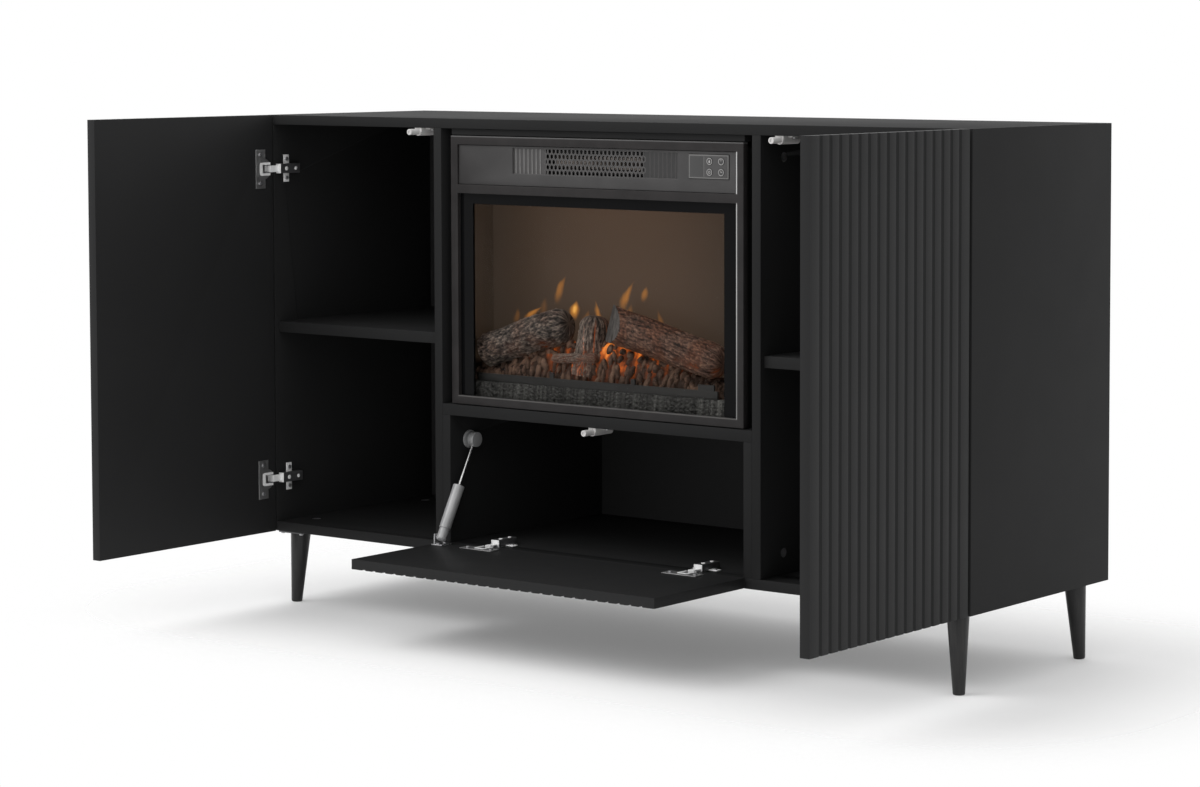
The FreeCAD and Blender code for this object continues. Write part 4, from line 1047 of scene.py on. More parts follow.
def fluted_board_tree():
    """A board with flutes on its face at y = 0 and two hinge bores in its back; x across, z along."""
    r = Recipe("fluted_board")
    width, length, thick = r.inputs("Width", "Length", "Thickness")
    flutes = r.input("Flutes", "Int")
    margin, flute_w, flute_d = r.inputs("Margin", "Flute Width", "Flute Depth")
    bore_r, bore_d = r.inputs("Bore Radius", "Bore Depth")
    bores = [r.input("First Bore", "Vector"), r.input("Second Bore", "Vector")]

    points = flutes * (FLUTE_STEPS + 1) + 2
    line = r.add("GeometryNodeMeshLine", None, {"Count": points})
    index = r.index()
    flute = ((index - 0.5) / (FLUTE_STEPS + 1)).whole()
    step = index - 1.0 - flute * (FLUTE_STEPS + 1)
    across = (step / FLUTE_STEPS - 0.5) * flute_w
    radius = (flute_w * flute_w / 4.0 + flute_d * flute_d) / (flute_d * 2.0)
    sunk = (radius * radius - across * across).most(0.0).root() - radius + flute_d
    pitch = (width - margin * 2.0) / (flutes - 1.0)
    first = index.is_under(0.5)
    last = index.is_over(points - 1.5)
    inner = 1.0 - first - last
    x = inner * (margin + flute * pitch + across) + last * width
    profile = r.moved(line, Position=r.vector(x, inner * sunk, 0.0))
    face = r.pushed(profile, r.vector(0.0, 0.0, length), "EDGES")
    shell = r.welded(r.backed(face, thick, thick), r.flipped(face))
    drills = []
    for bore in bores:
        bit = r.add("GeometryNodeMeshCylinder", None, {
            "Vertices": BORE_SIDES, "Radius": bore_r, "Depth": bore_d * 2.0})
        drills.append(r.changed(bit, Translation=bore, Rotation=QUARTER_TURN))
    cut = r.add("GeometryNodeMeshBoolean", {"operation": "DIFFERENCE", "solver": "EXACT"},
                {"Mesh 1": shell, "Mesh 2": drills})
    return r.close(cut, finish_of("front_board"))


def perforated_tree(material):
    """Staggered six-sided rings that make a perforated sheet; x across, z up, y through the sheet."""
    r = Recipe("perforated_sheet")
    columns, rows = r.input("Columns", "Int"), r.input("Rows", "Int")
    pitch, rise, web, thick = r.inputs("Pitch", "Rise", "Web", "Thickness")
    corner = r.input("Corner", "Vector")
    points = r.add("GeometryNodeMeshLine", None, {"Count": columns * rows})
    index = r.index()
    row = ((index + 0.5) / columns).whole()
    column = index - row * columns
    spot = r.vector((column + row.left_over(2.0) * 0.5) * pitch, 0.0, row * rise)
    place = r.add("ShaderNodeVectorMath", {"operation": "ADD"}, {0: spot, 1: corner})
    points = r.moved(points, Position=place)
    outline = r.add("GeometryNodeCurvePrimitiveCircle", {"mode": "RADIUS"}, {
        "Resolution": 6, "Radius": pitch * 0.577 - web * 0.289})
    upright = r.changed(outline, Rotation=HEXAGON_TURN)
    squashed = r.changed(upright, Scale=r.vector(1.0, rise / (pitch * 0.866), 1.0))
    section = r.add("GeometryNodeCurvePrimitiveQuadrilateral", None, {"Width": web * 0.5, "Height": thick})
    ring = r.add("GeometryNodeCurveToMesh", None, {"Curve": squashed, "Profile Curve": section})
    return r.close(r.strewn(points, r.changed(ring, Rotation=QUARTER_TURN)), material)


def louvre_tree(material):
    """A row of upright slats with rounded noses, each turned about its own upright line."""
    r = Recipe("louvre_bank")
    count = r.input("Slats", "Int")
    pitch, width, depth, height = r.inputs("Pitch", "Width", "Depth", "Height")
    first, turn = r.input("First", "Vector"), r.input("Turn")
    line = r.add("GeometryNodeMeshLine", None, {
        "Count": count, "Start Location": first, "Offset": r.vector(pitch, 0.0, 0.0)})
    nose = r.add("GeometryNodeCurvePrimitiveCircle", {"mode": "RADIUS"}, {"Resolution": 10, "Radius": 0.5})
    nose = r.changed(nose, Scale=r.vector(width, depth, 1.0))
    slat = r.add("GeometryNodeFillCurve", {"mode": "NGONS"}, {"Curve": nose})
    slat = r.pushed(slat, r.vector(0.0, 0.0, height))
    return r.close(r.strewn(line, slat, Rotation=r.vector(0.0, 0.0, turn)), material)


def heap_slope(r):
    """Adds the inputs of a heap's front; gives the place on it for shares of the way across and up."""
    near, far = r.input("Near Corner", "Vector"), r.input("Far Corner", "Vector")
    peak, peak_x, spread = r.inputs("Peak", "Peak Place", "Peak Spread")
    x0, y0, z0 = r.parts(near)
    x1, y1, z1 = r.parts(far)

    def place(across, climb):
        x = x0 + across * (x1 - x0)
        nearness = (1.0 - ((x - peak_x) / spread).size()).most(0.0)
        crest = z1 + peak * nearness * nearness * (3.0 - nearness * 2.0)
        return x, y0 + climb * climb * (y1 - y0), z0 + climb * (crest - z0)

    return place


def coal_tree(material):
    """Charred lumps strewn over a heap's front: upright by the grate, tumbled toward the crest."""
    r = Recipe("coal_tree")
    columns, rows, seed = (r.input(name, "Int") for name in ("Columns", "Rows", "Seed"))
    foot, reach, girth, length = r.inputs("Foot", "Reach", "Girth", "Length")
    place = heap_slope(r)
    points = r.grid(columns, rows)
    index = r.index()
    row = index.left_over(rows) / (rows - 1.0)
    column = (index / rows).whole() / (columns - 1.0)
    slip_x, slip_z, slip_y = r.random((-0.5, -0.5, -0.5), (0.5, 0.5, 0.5), seed)
    x, y, z = place(0.012 + column * 0.976 + slip_x * 0.9 / columns, foot + (row + slip_z / rows) * reach)
    points = r.moved(points, Position=r.vector(x, y + slip_y * girth * 0.5, z))
    lean, tumble, spin = r.random((-0.3, -1.0, -1.5), (0.3, 1.0, 1.5), seed + 1)
    wide, deep, tall = r.random((0.7, 0.75, 0.7), (1.15, 1.05, 1.25), seed + 2)
    lump = r.add("GeometryNodeMeshUVSphere", None, {"Segments": 10, "Rings": 7, "Radius": 1.0})
    coals = r.strewn(
        points, lump,
        Rotation=r.vector(lean - 0.35, tumble * (0.16 + row * 1.1), spin * 0.4),
        Scale=r.vector(girth * wide, girth * deep, length * tall * (1.0 - row * 0.45)))
    coals = r.add("GeometryNodeRealizeInstances", None, {"Geometry": coals})
    normal = r.add("GeometryNodeInputNormal")
    dent = r.add("ShaderNodeTexNoise", None, {"Scale": 95.0, "Detail": 3.0, "Roughness": 0.6})
    coals = r.moved(coals, Offset=r.scaled(normal, (dent - 0.5) * girth * 0.95))
    _, front, up = r.parts(r.add("GeometryNodeInputNormal"))
    # Painted light: the rise is higher on faces turned to the front and up, so the finish colours them
    # lighter
    rise = (0.34 - front * 0.42 + up * 0.18 + (dent - 0.5) * 0.7).most(0.0).least(1.0)
    return r.close(r.marked(coals, "rise", rise), material)


def heap_tree(name, material):
    """A heap with a flat back whose front climbs to a crest, broken into upright fingers; x across, z up."""
    r = Recipe(name)
    columns, rows, seed = r.input("Columns", "Int"), r.input("Rows", "Int"), r.input("Seed")
    place, back = heap_slope(r), r.input("Back")
    cell, stretch, relief = r.inputs("Cell", "Stretch", "Relief")
    sheet = r.grid(columns, rows)
    u, v, _ = r.position()
    climb = v + 0.5
    x, y, z = place(u + 0.5, climb)
    sway = r.add("ShaderNodeTexNoise", None, {
        "Vector": r.vector(x, seed, z), "Scale": 22.0, "Detail": 2.0}, 1)
    sway = r.add("ShaderNodeVectorMath", {"operation": "SUBTRACT"}, {0: sway, 1: (0.5, 0.5, 0.5)})
    sway_x, _, sway_z = r.parts(sway)
    loose = climb * 2.0 + 0.6
    cell_x = (x + sway_x * cell * loose * 2.0) / cell
    cell_z = (z + sway_z * cell * 3.0) / (cell * stretch)
    where = r.vector(cell_x, seed, cell_z)
    cracks = {"feature": "DISTANCE_TO_EDGE"}
    finger = r.add("ShaderNodeTexVoronoi", cracks, {"Vector": where, "Scale": 1.0, "Randomness": 0.85})
    knob = r.add("ShaderNodeTexVoronoi", cracks, {"Vector": where, "Scale": 2.4})
    grit = r.add("ShaderNodeTexNoise", None, {"Vector": where, "Scale": 5.0, "Detail": 3.0})
    rounded = (finger * 1.9).least(1.0).root() * 0.64 + (knob * 2.0).least(1.0).root() * 0.26
    rise = (rounded + (grit - 0.5) * 0.36).most(0.0).least(1.0)
    sheet = r.moved(sheet, Position=r.vector(x, y - rise * relief, z + rise * relief * 0.35 * climb))
    # The finishes colour by this rise: dark in the cracks as painted shade, lighter on the fingers' tips
    front = r.marked(sheet, "rise", rise)
    return r.close(r.welded(r.flipped(r.backed(front, relief, back)), front), material)


# Operators

class StandOperator(bpy.types.Operator):
    """Builds one group of pieces of the stand."""
    bl_idname = "tv_stand.group"
    bl_label = "Group"
    bl_options = {"REGISTER"}

    def execute(self, context):
        self.build(context.scene.tv_stand)
        return {"FINISHED"}


class BuildCarcass(StandOperator):
    """Boards of the carcass with rounded edges, and the thin back panels."""
    bl_idname = "tv_stand.carcass"
    bl_label = "Carcass"

    def build(self, stand):
        boards = [node for node, slot in SLOT_OF.items() if slot == "carcass_board"]
        eased_nodes(boards, stand.boards.edge_round, BOARD_EDGE)
        paint("back_panels")


# Doors and flap: node, hinge cups, the corner of its box where its frame starts (0 low, 1 high), and its axes
FRONTS = (
    ("left_door", "left_hinge_cups", (0, 1, 0), ((0, -1, 0), (1, 0, 0), (0, 0, 1))),
    ("right_door", "right_hinge_cups", (1, 0, 0), ((0, 1, 0), (-1, 0, 0), (0, 0, 1))),
    ("flap", "flap_hinge_cups", (0, 1, 0), ((1, 0, 0), (0, 0, 1), (0, -1, 0))),
)


class Front:
    """A door or the flap in its own frame: x across its flutes, y from face to back, z along its flutes."""

    # Points of a hinge cup that lie deeper than this in the board belong to its bore
    FLANGE = 1 * MM

    def __init__(self, node, cups, corner, axes):
        self.node = node
        self.cups = cups
        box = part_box(node)
        origin = [box[end][axis] for axis, end in enumerate(corner)]
        self.place = Matrix.Translation(origin) @ Matrix(axes).transposed().to_4x4()
        board, cup_points = self.points(node), self.points(cups)
        self.width, self.thick, self.length = (span(board, axis)[1] for axis in range(3))
        sunk = [point for point in cup_points if point.y < self.thick - self.FLANGE]
        pair = halves(sunk)
        self.bores = [(sum(span(cup, 0)) / 2, self.thick, sum(span(cup, 2)) / 2) for cup in pair]
        low, high = span(pair[0], 0)
        self.bore_radius = (high - low) / 2
        self.bore_floor = span(sunk, 1)[0]
        self.flange_top = span(cup_points, 1)[1]

    def points(self, node):
        """A node's points in the front's own frame."""
        home = self.place.inverted()
        return [home @ vert.co for vert in NODES[node].data.vertices]

    def reach(self, bore):
        """How far a bore lies from the edge that the hinges hold."""
        return bore[2] if self.node == "flap" else min(bore[0], self.width - bore[0])

    def spot(self, bore, edge, side, height):
        """A place by a bore, so far from the hinge edge, beside the bore and above the front's face."""
        if self.node == "flap":
            return self.place @ Vector((bore[0] + side, height, edge))
        if bore[0] > self.width / 2:
            edge = self.width - edge
        return self.place @ Vector((edge, height, bore[2] + side))


def fronts():
    return [Front(*row) for row in FRONTS]


class BuildFronts(StandOperator):
    """Fluted doors and flap with their hinge bores."""
    bl_idname = "tv_stand.fronts"
    bl_label = "Doors and flap"

    EDGE = 0.4 * MM
    BORE_ROOM = 0.15 * MM
    FLOOR_ROOM = 0.1 * MM

    def build(self, stand):
        tree = fluted_board_tree()
        flutes = stand.flutes
        for front in fronts():
            pitch = flutes.flap_pitch if front.node == "flap" else flutes.door_pitch
            spaces = int((front.width - 2 * flutes.margin) / pitch + 0.5)
            name = front.node + "_fluted"
            mesh = grown(name, tree, {
                "Width": front.width, "Length": front.length, "Thickness": front.thick, "Flutes": spaces + 1,
                "Margin": flutes.margin, "Flute Width": flutes.width, "Flute Depth": flutes.depth,
                "Bore Radius": front.bore_radius + self.BORE_ROOM,
                "Bore Depth": front.thick - front.bore_floor + self.FLOOR_ROOM,
                "First Bore": front.bores[0], "Second Bore": front.bores[1]})
            eased = eased_mesh(name, mesh, self.EDGE, BOARD_EDGE)
            eased.transform(front.place)
            stand_in(name, eased, front.node)


class BuildLegs(StandOperator):
    """Tapered legs with a rounded foot, and the plates that hold them."""
    bl_idname = "tv_stand.legs"
    bl_label = "Legs"

    SIDES = 40
    RING_SLACK = 0.05 * MM

    # Shares of the way from the floor to the plate, and by how much the leg is drawn in there
    RINGS = (
        (0.0, 1.6 * MM), (0.004, 0.7 * MM), (0.012, 0.15 * MM), (0.025, 0.0), (0.5, 0.0), (0.99, 0.0),
        (1.0, 0.4 * MM))

    def build(self, stand):
        for node in ("front_legs", "rear_legs"):
            name = node + "_turned"
            pair = halves([vert.co.copy() for vert in NODES[node].data.vertices])
            legs = [lathe(node, self.rings(points), self.SIDES) for points in pair]
            stand_in(name, joined_mesh(name, legs), node)
        paint("leg_plates")

    def rings(self, points):
        """Rings from the floor to the plate, drawn in over the last millimetres at both ends."""
        ends = []
        for z in span(points, 2):
            ring = [point for point in points if abs(point.z - z) < self.RING_SLACK]
            (x0, x1), (y0, y1) = span(ring, 0), span(ring, 1)
            ends.append((Vector(((x0 + x1) / 2, (y0 + y1) / 2, z)), (x1 - x0) / 2))
        (foot, foot_radius), (top, top_radius) = ends
        rings = []
        for share, drawn in self.RINGS:
            radius = foot_radius + (top_radius - foot_radius) * share - drawn
            rings.append((foot.lerp(top, share), radius))
        return rings


class BuildHinges(StandOperator):
    """Concealed hinges: plates with dark housings, pale arms, plated cups with a bright mouth, and pins; the
    pale and bright parts are a painted reflection, the dark housings a painted dark reflection.
    """
    bl_idname = "tv_stand.hinges"
    bl_label = "Hinges"

    # Rounding of an edge, and the shortest edge that is rounded
    ARM_EDGE = (0.5 * MM, 1.5 * MM)
    CUP_EDGE = (0.3 * MM, 3 * MM)

    # Plates further from the middle than this are the doors', on the sides; the rest are the flap's
    SIDES_FROM = 0.4

    # Arm housing: half its width, how far off the board it begins, and how far back from the plate's front
    HOUSING_HALF = 8.3 * MM
    HOUSING_FOOT = 2.3 * MM
    HOUSING_START = 8 * MM

    # Adjusting screws: share of the plate's depth, and radius; then the head's heights and shares of radius
    SCREWS = ((0.3, 3.4 * MM), (0.78, 3.0 * MM))
    SCREW_HEAD = ((0.0, 1.0), (1.0 * MM, 1.0), (1.5 * MM, 0.75), (1.7 * MM, 0.3))
    SCREW_SUNK = 0.3 * MM
    SCREW_SIDES = 20

    # Slot of a cup: its end from the front's hinge edge, and half its width
    SLOT_END = 25 * MM
    SLOT_HALF = 7 * MM

    # Plate over a cup: room to the cup's rim, depth under the flange, thickness, and steps of a half turn
    COVER_ROOM = 0.7 * MM
    COVER_SUNK = 0.05 * MM
    COVER_THICK = 0.5 * MM
    COVER_STEPS = 24

    # Raised mouth round the slot: near and far end, half width, corners, and its foot and top by the flange
    PAD_NEAR = 7 * MM
    PAD_FAR = 31 * MM
    PAD_HALF = 11 * MM
    PAD_CORNER = 4 * MM
    PAD_SUNK = 0.2 * MM
    PAD_RISE = 0.5 * MM

    def build(self, stand):
        eased_nodes(["hinge_arms"], *self.ARM_EDGE, "link_steel")
        self.plates()
        for front in fronts():
            eased_nodes([front.cups], *self.CUP_EDGE, "plated_grey")
            mouths = []
            for bore in front.bores:
                mouths += [self.cover(front, bore), self.pad(front, bore)]
            dress(front.cups + "_mouths", joined_mesh(front.cups + "_mouths", mouths), front.cups)
        paint("hinge_pins")

    def plates(self):
        """The wings against the board are pale, a painted reflection; the arm housing on them is dark, a
        painted dark reflection, with two bright screws.
        """
        name = "hinge_plates_eased"
        source = NODES["hinge_plates"].data
        mesh = eased_mesh(name, source, *self.ARM_EDGE)
        # Pale satin for the wings and dark steel for the housing, as painted reflections on one plated plate
        for look in ("link_steel", "dark_steel"):
            mesh.materials.append(finish_of(look))
        screws = []
        for low, high in island_boxes(source):
            up, flat = (2, 0) if abs(low.x) < self.SIDES_FROM else (0, 2)
            inward = 1.0 if up == 2 or low.x < 0 else -1.0
            board = low[up] if inward > 0 else high[up]
            middle = (low[flat] + high[flat]) / 2
            for face in mesh.polygons:
                at = face.center
                here = all(low[i] - MM < at[i] < high[i] + MM for i in range(3))
                slim = abs(at[flat] - middle) < self.HOUSING_HALF
                raised = abs(at[up] - board) > self.HOUSING_FOOT
                if here and slim and raised and at.y > low.y + self.HOUSING_START:
                    face.material_index = 1
            rise = Vector((0.0, 0.0, 0.0))
            rise[up] = inward
            for share, radius in self.SCREWS:
                seat = Vector((0.0, low.y + (high.y - low.y) * share, 0.0))
                seat[flat] = middle
                seat[up] = board + inward * (high[up] - low[up] - self.SCREW_SUNK)
                rings = [(seat + rise * height, radius * part) for height, part in self.SCREW_HEAD]
                screws.append(lathe("adjuster", rings, self.SCREW_SIDES))
        stand_in(name, mesh, "hinge_plates")
        # The adjusting screws are pale as a painted reflection
        dress("hinge_adjusters", joined_mesh("hinge_adjusters", screws), "hinge_plates", "link_steel")

    @staticmethod
    def flat_piece(name, front, bore, outline, heights, look):
        """A flat piece by a cup, from points measured from the hinge edge and to either side of the cup."""
        solid = bmesh.new()
        loops = []
        for height in heights:
            loops.append([solid.verts.new(front.spot(bore, edge, side, height)) for edge, side in outline])
        bridge(solid, *loops)
        for loop in loops:
            solid.faces.new(loop)
        mesh = mesh_of(name, solid, True)
        mesh.materials.append(finish_of(look))
        return mesh

    def cover(self, front, bore):
        """A plate level with the flange that closes the cup but for the arm's slot."""
        radius = front.bore_radius - self.COVER_ROOM
        centre = front.reach(bore)
        half = self.SLOT_HALF
        start = math.pi - math.asin(half / radius)
        outline = []
        for i in range(2 * self.COVER_STEPS + 1):
            turn = start * (1.0 - i / self.COVER_STEPS)
            outline.append((centre + math.cos(turn) * radius, math.sin(turn) * radius))
        outline += [(self.SLOT_END, -half), (self.SLOT_END, half)]
        top = front.flange_top - self.COVER_SUNK
        heights = (top - self.COVER_THICK, top)
        return self.flat_piece("cup_cover", front, bore, outline, heights, "plated_grey")

    def pad(self, front, bore):
        """The raised mouth round the slot, open toward the hinge edge, pale as a painted reflection."""
        slot, half, corner = self.SLOT_HALF, self.PAD_HALF, self.PAD_CORNER
        outline = [(self.PAD_NEAR, slot), (self.PAD_NEAR, half)]
        for degrees in range(90, -1, -15):
            turn = math.radians(degrees)
            outline.append((
                self.PAD_FAR - corner + math.cos(turn) * corner, half - corner + math.sin(turn) * corner))
        outline += [(edge, -side) for edge, side in reversed(outline)]
        outline += [(self.SLOT_END, -slot), (self.SLOT_END, slot)]
        heights = (front.flange_top - self.PAD_SUNK, front.flange_top + self.PAD_RISE)
        return self.flat_piece("cup_pad", front, bore, outline, heights, "link_steel")


class BuildLatches(StandOperator):
    """Push latches: housings and sprung plungers."""
    bl_idname = "tv_stand.latches"
    bl_label = "Latches"

    def build(self, stand):
        eased_nodes(["latch_housings"], width=0.5 * MM, shortest=2 * MM)
        paint("left_latch_plunger", "right_latch_plunger", "flap_latch_plunger")


class BuildStay(StandOperator):
    """Gas strut of the flap with its two brackets."""
    bl_idname = "tv_stand.stay"
    bl_label = "Flap stay"

    # How far past the rod end's own reach its paint goes
    END_ROOM = 0.5 * MM

    def build(self, stand):
        eased_nodes(["strut_wall_bracket", "strut_flap_bracket"], width=0.4 * MM, shortest=2 * MM)
        paint("strut_cylinder")
        self.rod()

    def rod(self):
        """The rod stays bright and its end is painted, told apart by their distance from the end's axis."""
        low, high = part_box("strut_wall_bracket")
        middle = (low + high) / 2
        mesh = eased_mesh("strut_rod_eased", NODES["strut_rod"].data, width=0.5 * MM, shortest=0.5 * MM)
        for look in (SLOT_OF["strut_rod"], "strut_paint"):
            mesh.materials.append(finish_of(look))
        reach = max((vert.co.yz - middle.yz).length for vert in mesh.vertices if vert.co.z > middle.z)
        for face in mesh.polygons:
            if (face.center.yz - middle.yz).length < reach + self.END_ROOM and face.center.x > high.x:
                face.material_index = 1
        stand_in("strut_rod_eased", mesh, "strut_rod")


class BuildInsert(StandOperator):
    """Fireplace insert: front frame, control bar, casing and glass."""
    bl_idname = "tv_stand.insert"
    bl_label = "Insert"

    EDGE = (0.8 * MM, 6 * MM)

    def build(self, stand):
        eased_nodes(["control_bar"], *self.EDGE)
        eased_nodes(["insert_front_frame"], *self.EDGE, "frame_metal")
        paint("insert_casing", look="casing_metal")
        paint("front_glass", "power_inlet")


class BuildGrille(StandOperator):
    """Air grille: a perforated middle between two banks of upright louvres, in a thin rim."""
    bl_idname = "tv_stand.grille"
    bl_label = "Air grille"

    RIM = 3.0 * MM
    BLADE = 8 * MM
    LEFT_SLAT = 1.9 * MM
    RIGHT_SLAT = 3.4 * MM

    # Plate behind a bank: its lap behind the mesh, its room to the rim's end, and its depth behind the face
    PLATE_LAP = 5.5 * MM
    PLATE_ROOM = 0.2 * MM
    PLATE_BACK = 0.8 * MM

    def build(self, stand):
        low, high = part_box("air_grille")
        size = stand.grille
        floor, top = low.z + self.RIM, high.z - self.RIM
        pieces = [self.sheet(size, low, high, floor, top)]
        bank = high.x - self.RIM / 2 - size.mesh_half
        pitch = bank / (size.louvres + 0.5)
        slats = louvre_tree(finish_of("louvre_metal"))
        left = (-high.x + self.RIM / 2 + pitch / 2, self.LEFT_SLAT, 1.0)
        right = (size.mesh_half + pitch, self.RIGHT_SLAT, -1.0)
        for first, width, side in (left, right):
            place = (first, low.y + self.BLADE / 2 * math.cos(size.louvre_turn), floor)
            pieces.append(grown("grille_louvres", slats, {
                "Slats": size.louvres, "Pitch": pitch, "Width": width, "Depth": self.BLADE,
                "Height": top - floor, "First": place, "Turn": side * size.louvre_turn}))
            # A plate behind each bank fills the gaps between the slats as painted shade; its finish makes the
            # right one darkest
            ends = sorted((-side * (size.mesh_half - self.PLATE_LAP), -side * (high.x - self.PLATE_ROOM)))
            plate = block_mesh(
                "bank_plate", (ends[0], low.y + self.PLATE_BACK, floor), (ends[1], high.y, top))
            plate.materials.append(finish_of("louvre_metal"))
            pieces.append(plate)
        pieces.append(self.rim(low, high))
        stand_in("air_grille_dressed", joined_mesh("air_grille_dressed", pieces), "air_grille")

    @staticmethod
    def sheet(size, low, high, floor, top):
        """The perforated middle, set in the sheet's half depth."""
        thick = (high.y - low.y) * 0.5
        columns = int((2 * size.mesh_half) / size.mesh_pitch)
        rows = int((top - floor - size.mesh_row) / size.mesh_row + 0.5) + 1
        start = Vector((-(columns - 0.5) * size.mesh_pitch / 2, low.y + thick,
                        (floor + top - (rows - 1) * size.mesh_row) / 2))
        return grown("grille_mesh", perforated_tree(finish_of("mesh_metal")), {
            "Columns": columns, "Rows": rows, "Pitch": size.mesh_pitch, "Rise": size.mesh_row,
            "Web": size.mesh_web, "Thickness": thick, "Corner": start})

    def rim(self, low, high):
        """A flat frame round the grille's edge."""
        solid = bmesh.new()
        loops = []
        for y in (low.y, high.y):
            for inset in (0.0, self.RIM):
                x0, x1, z0, z1 = low.x + inset, high.x - inset, low.z + inset, high.z - inset
                corners = ((x0, y, z0), (x1, y, z0), (x1, y, z1), (x0, y, z1))
                loops.append([solid.verts.new(corner) for corner in corners])
        front_out, front_in, back_out, back_in = loops
        for pair in ((front_out, front_in), (back_in, back_out), (front_in, back_in), (back_out, front_out)):
            bridge(solid, *pair)
        mesh = mesh_of("grille_rim", solid, True)
        mesh.materials.append(finish_of("mesh_metal"))
        return mesh


class BuildControls(StandOperator):
    """Control panel and its four buttons with plain signs."""
    bl_idname = "tv_stand.controls"
    bl_label = "Controls"

    def build(self, stand):
        eased_nodes(["control_panel"], width=0.4 * MM, shortest=4 * MM)
        for node in ("power_button", "flame_button", "heat_button", "timer_button"):
            paint(node, look=node + "_face")


# A log: its two ends in millimetres, across from the middle, back from the bed's front and up from the
# hearth, each with its radius, then the share of its length that each end is rounded over, how far the
# bark splits open, and how scaly it is
Log = namedtuple("Log", "name low low_radius high high_radius low_round high_round split scaly")


class BuildFire(StandOperator):
    """Fire bed: flame screen, bark logs, embers, ash and the grate in front."""
    bl_idname = "tv_stand.fire"
    bl_label = "Fire"

    LOGS = (
        Log("left_log", (-266, 36, 82), 30, (-96, 42, 136), 31, 0.06, 0.13, 0.0, 1.0),
        Log("right_log", (216, 36, 87), 29, (-16, 42, 141), 32, 0.1, 0.0, 0.0, 0.25),
        Log("stump", (-54, 46, 56), 34, (-46, 46, 149), 24, 0.0, 0.16, 1.0, 0.3),
        Log("kindling", (-112, 22, 80), 8, (-24, 24, 85), 9, 0.1, 0.1, 0.35, 0.2),
    )
    LOG_SIDES = 120
    LOG_STEPS = 150
    SEED_STEP = 7.3

    # The right log's high end is sawn aslant: how far back from its end, and which way the cut faces
    SAW_BACK = 4.0 * MM
    SAW_FACE = (-0.55, -0.8, 0.2)

    # Room between the bed's sides and the casing
    BED_ROOM = 4 * MM

    # Turns under which bark, and embers and ash, are shaded as one surface
    BARK_TURN = math.radians(60)
    EMBER_TURN = math.radians(75)

    def build(self, stand):
        paint("flame_screen")
        eased_nodes(["fire_grate"], width=0.8 * MM, shortest=3 * MM)
        low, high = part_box("ember_bed")
        start = Vector((0.0, low.y, low.z))
        logs = []
        for order, log in enumerate(self.LOGS):
            ends = [start + Vector(end) * MM for end in (log.low, log.high)]
            mesh = self.bark_log(log, ends, self.SEED_STEP * order)
            if log.name == "right_log":
                self.saw(mesh, ends[1] + (ends[0] - ends[1]).normalized() * self.SAW_BACK)
            logs.append(mesh)
        stand_in("log_set_bark", joined_mesh("log_set_bark", logs), "log_set", None, self.BARK_TURN)
        self.embers(stand.fire, low, high)

    def saw(self, log, place):
        """Cuts a log's high end off aslant and marks the cut for its finish."""
        solid = bmesh.new()
        solid.from_mesh(log)
        cut_of = solid.verts.layers.float.new("cut")
        pieces = solid.verts[:] + solid.edges[:] + solid.faces[:]
        cut = bmesh.ops.bisect_plane(
            solid, geom=pieces, plane_co=place, plane_no=Vector(self.SAW_FACE).normalized(), clear_outer=True)
        edges = [e for e in cut["geom_cut"] if isinstance(e, bmesh.types.BMEdge)]
        bmesh.ops.holes_fill(solid, edges=edges, sides=0)
        for edge in edges:
            for vert in edge.verts:
                vert[cut_of] = 1.0
        bmesh.ops.recalc_face_normals(solid, faces=solid.faces)
        solid.to_mesh(log)
        solid.free()

    @staticmethod
    def log_radius(log, share):
        """A log's radius at a share of its length, with both ends rounded."""
        low, high = log.low_radius * MM, log.high_radius * MM
        radius = low + (high - low) * share
        for gone, length in ((share, log.low_round), (1.0 - share, log.high_round)):
            if gone < length:
                radius *= 0.35 + 0.65 * math.sqrt(1.0 - (1.0 - gone / length) ** 2)
        return radius

    @staticmethod
    def bark(at, scaly):
        """How far the bark stands out, from 0 to 1: long streaks or scales, broken up finely."""
        streaks = 1.0 - abs(noise.noise(Vector((at.x, at.y, at.z * 0.35)) * 2.2)) * 2.4
        scales = 1.0 - noise.voronoi(at * 2.3)[0][0] * 1.5
        fine = noise.fractal(at * 5.5, 0.8, 2.1, 4)
        ridge = 0.3 + 0.36 * (streaks * (1.0 - scaly) + scales * scaly) + fine * 0.36
        return max(0.0, min(1.0, ridge))

    def bark_log(self, log, ends, seed):
        """A tapered log with ridged bark; the marks of ridge and split are kept for its finish."""
        run = ends[1] - ends[0]
        across = run.normalized().cross(Vector((0, 1, 0))).normalized()
        beside = run.normalized().cross(across)
        grain = run.length / (log.low_radius * MM)
        solid = bmesh.new()
        ridge_of = solid.verts.layers.float.new("ridge")
        split_of = solid.verts.layers.float.new("split")
        loops = []
        for step in range(self.LOG_STEPS + 1):
            share = step / self.LOG_STEPS
            centre = ends[0] + run * share
            radius = self.log_radius(log, share)
            loop = []
            for i in range(self.LOG_SIDES):
                turn = 2 * math.pi * i / self.LOG_SIDES
                out = across * math.cos(turn) + beside * math.sin(turn)
                at = Vector((math.cos(turn) * 2.4, math.sin(turn) * 2.4, share * grain + seed))
                ridge = self.bark(at, log.scaly)
                swell = noise.noise(at * 0.45) * 0.07
                vert = solid.verts.new(centre + out * radius * (0.93 + swell + 0.14 * (ridge - 0.5)))
                vert[ridge_of] = ridge
                streak = abs(math.sin(turn * 4.0 + noise.noise(at * 0.8) * 1.4))
                vert[split_of] = log.split * max(0.0, 1.0 - streak * 6.0) * min(1.0, (1 - share) * 4.0)
                loop.append(vert)
            loops.append(loop)
        for low, high in zip(loops, loops[1:]):
            bridge(solid, low, high)
        for loop, centre in ((loops[0], ends[0]), (loops[-1], ends[1])):
            hub = solid.verts.new(centre)
            hub[ridge_of] = 0.5
            for i in range(self.LOG_SIDES):
                solid.faces.new((loop[i], loop[(i + 1) % self.LOG_SIDES], hub))
        return mesh_of(log.name, solid, True)

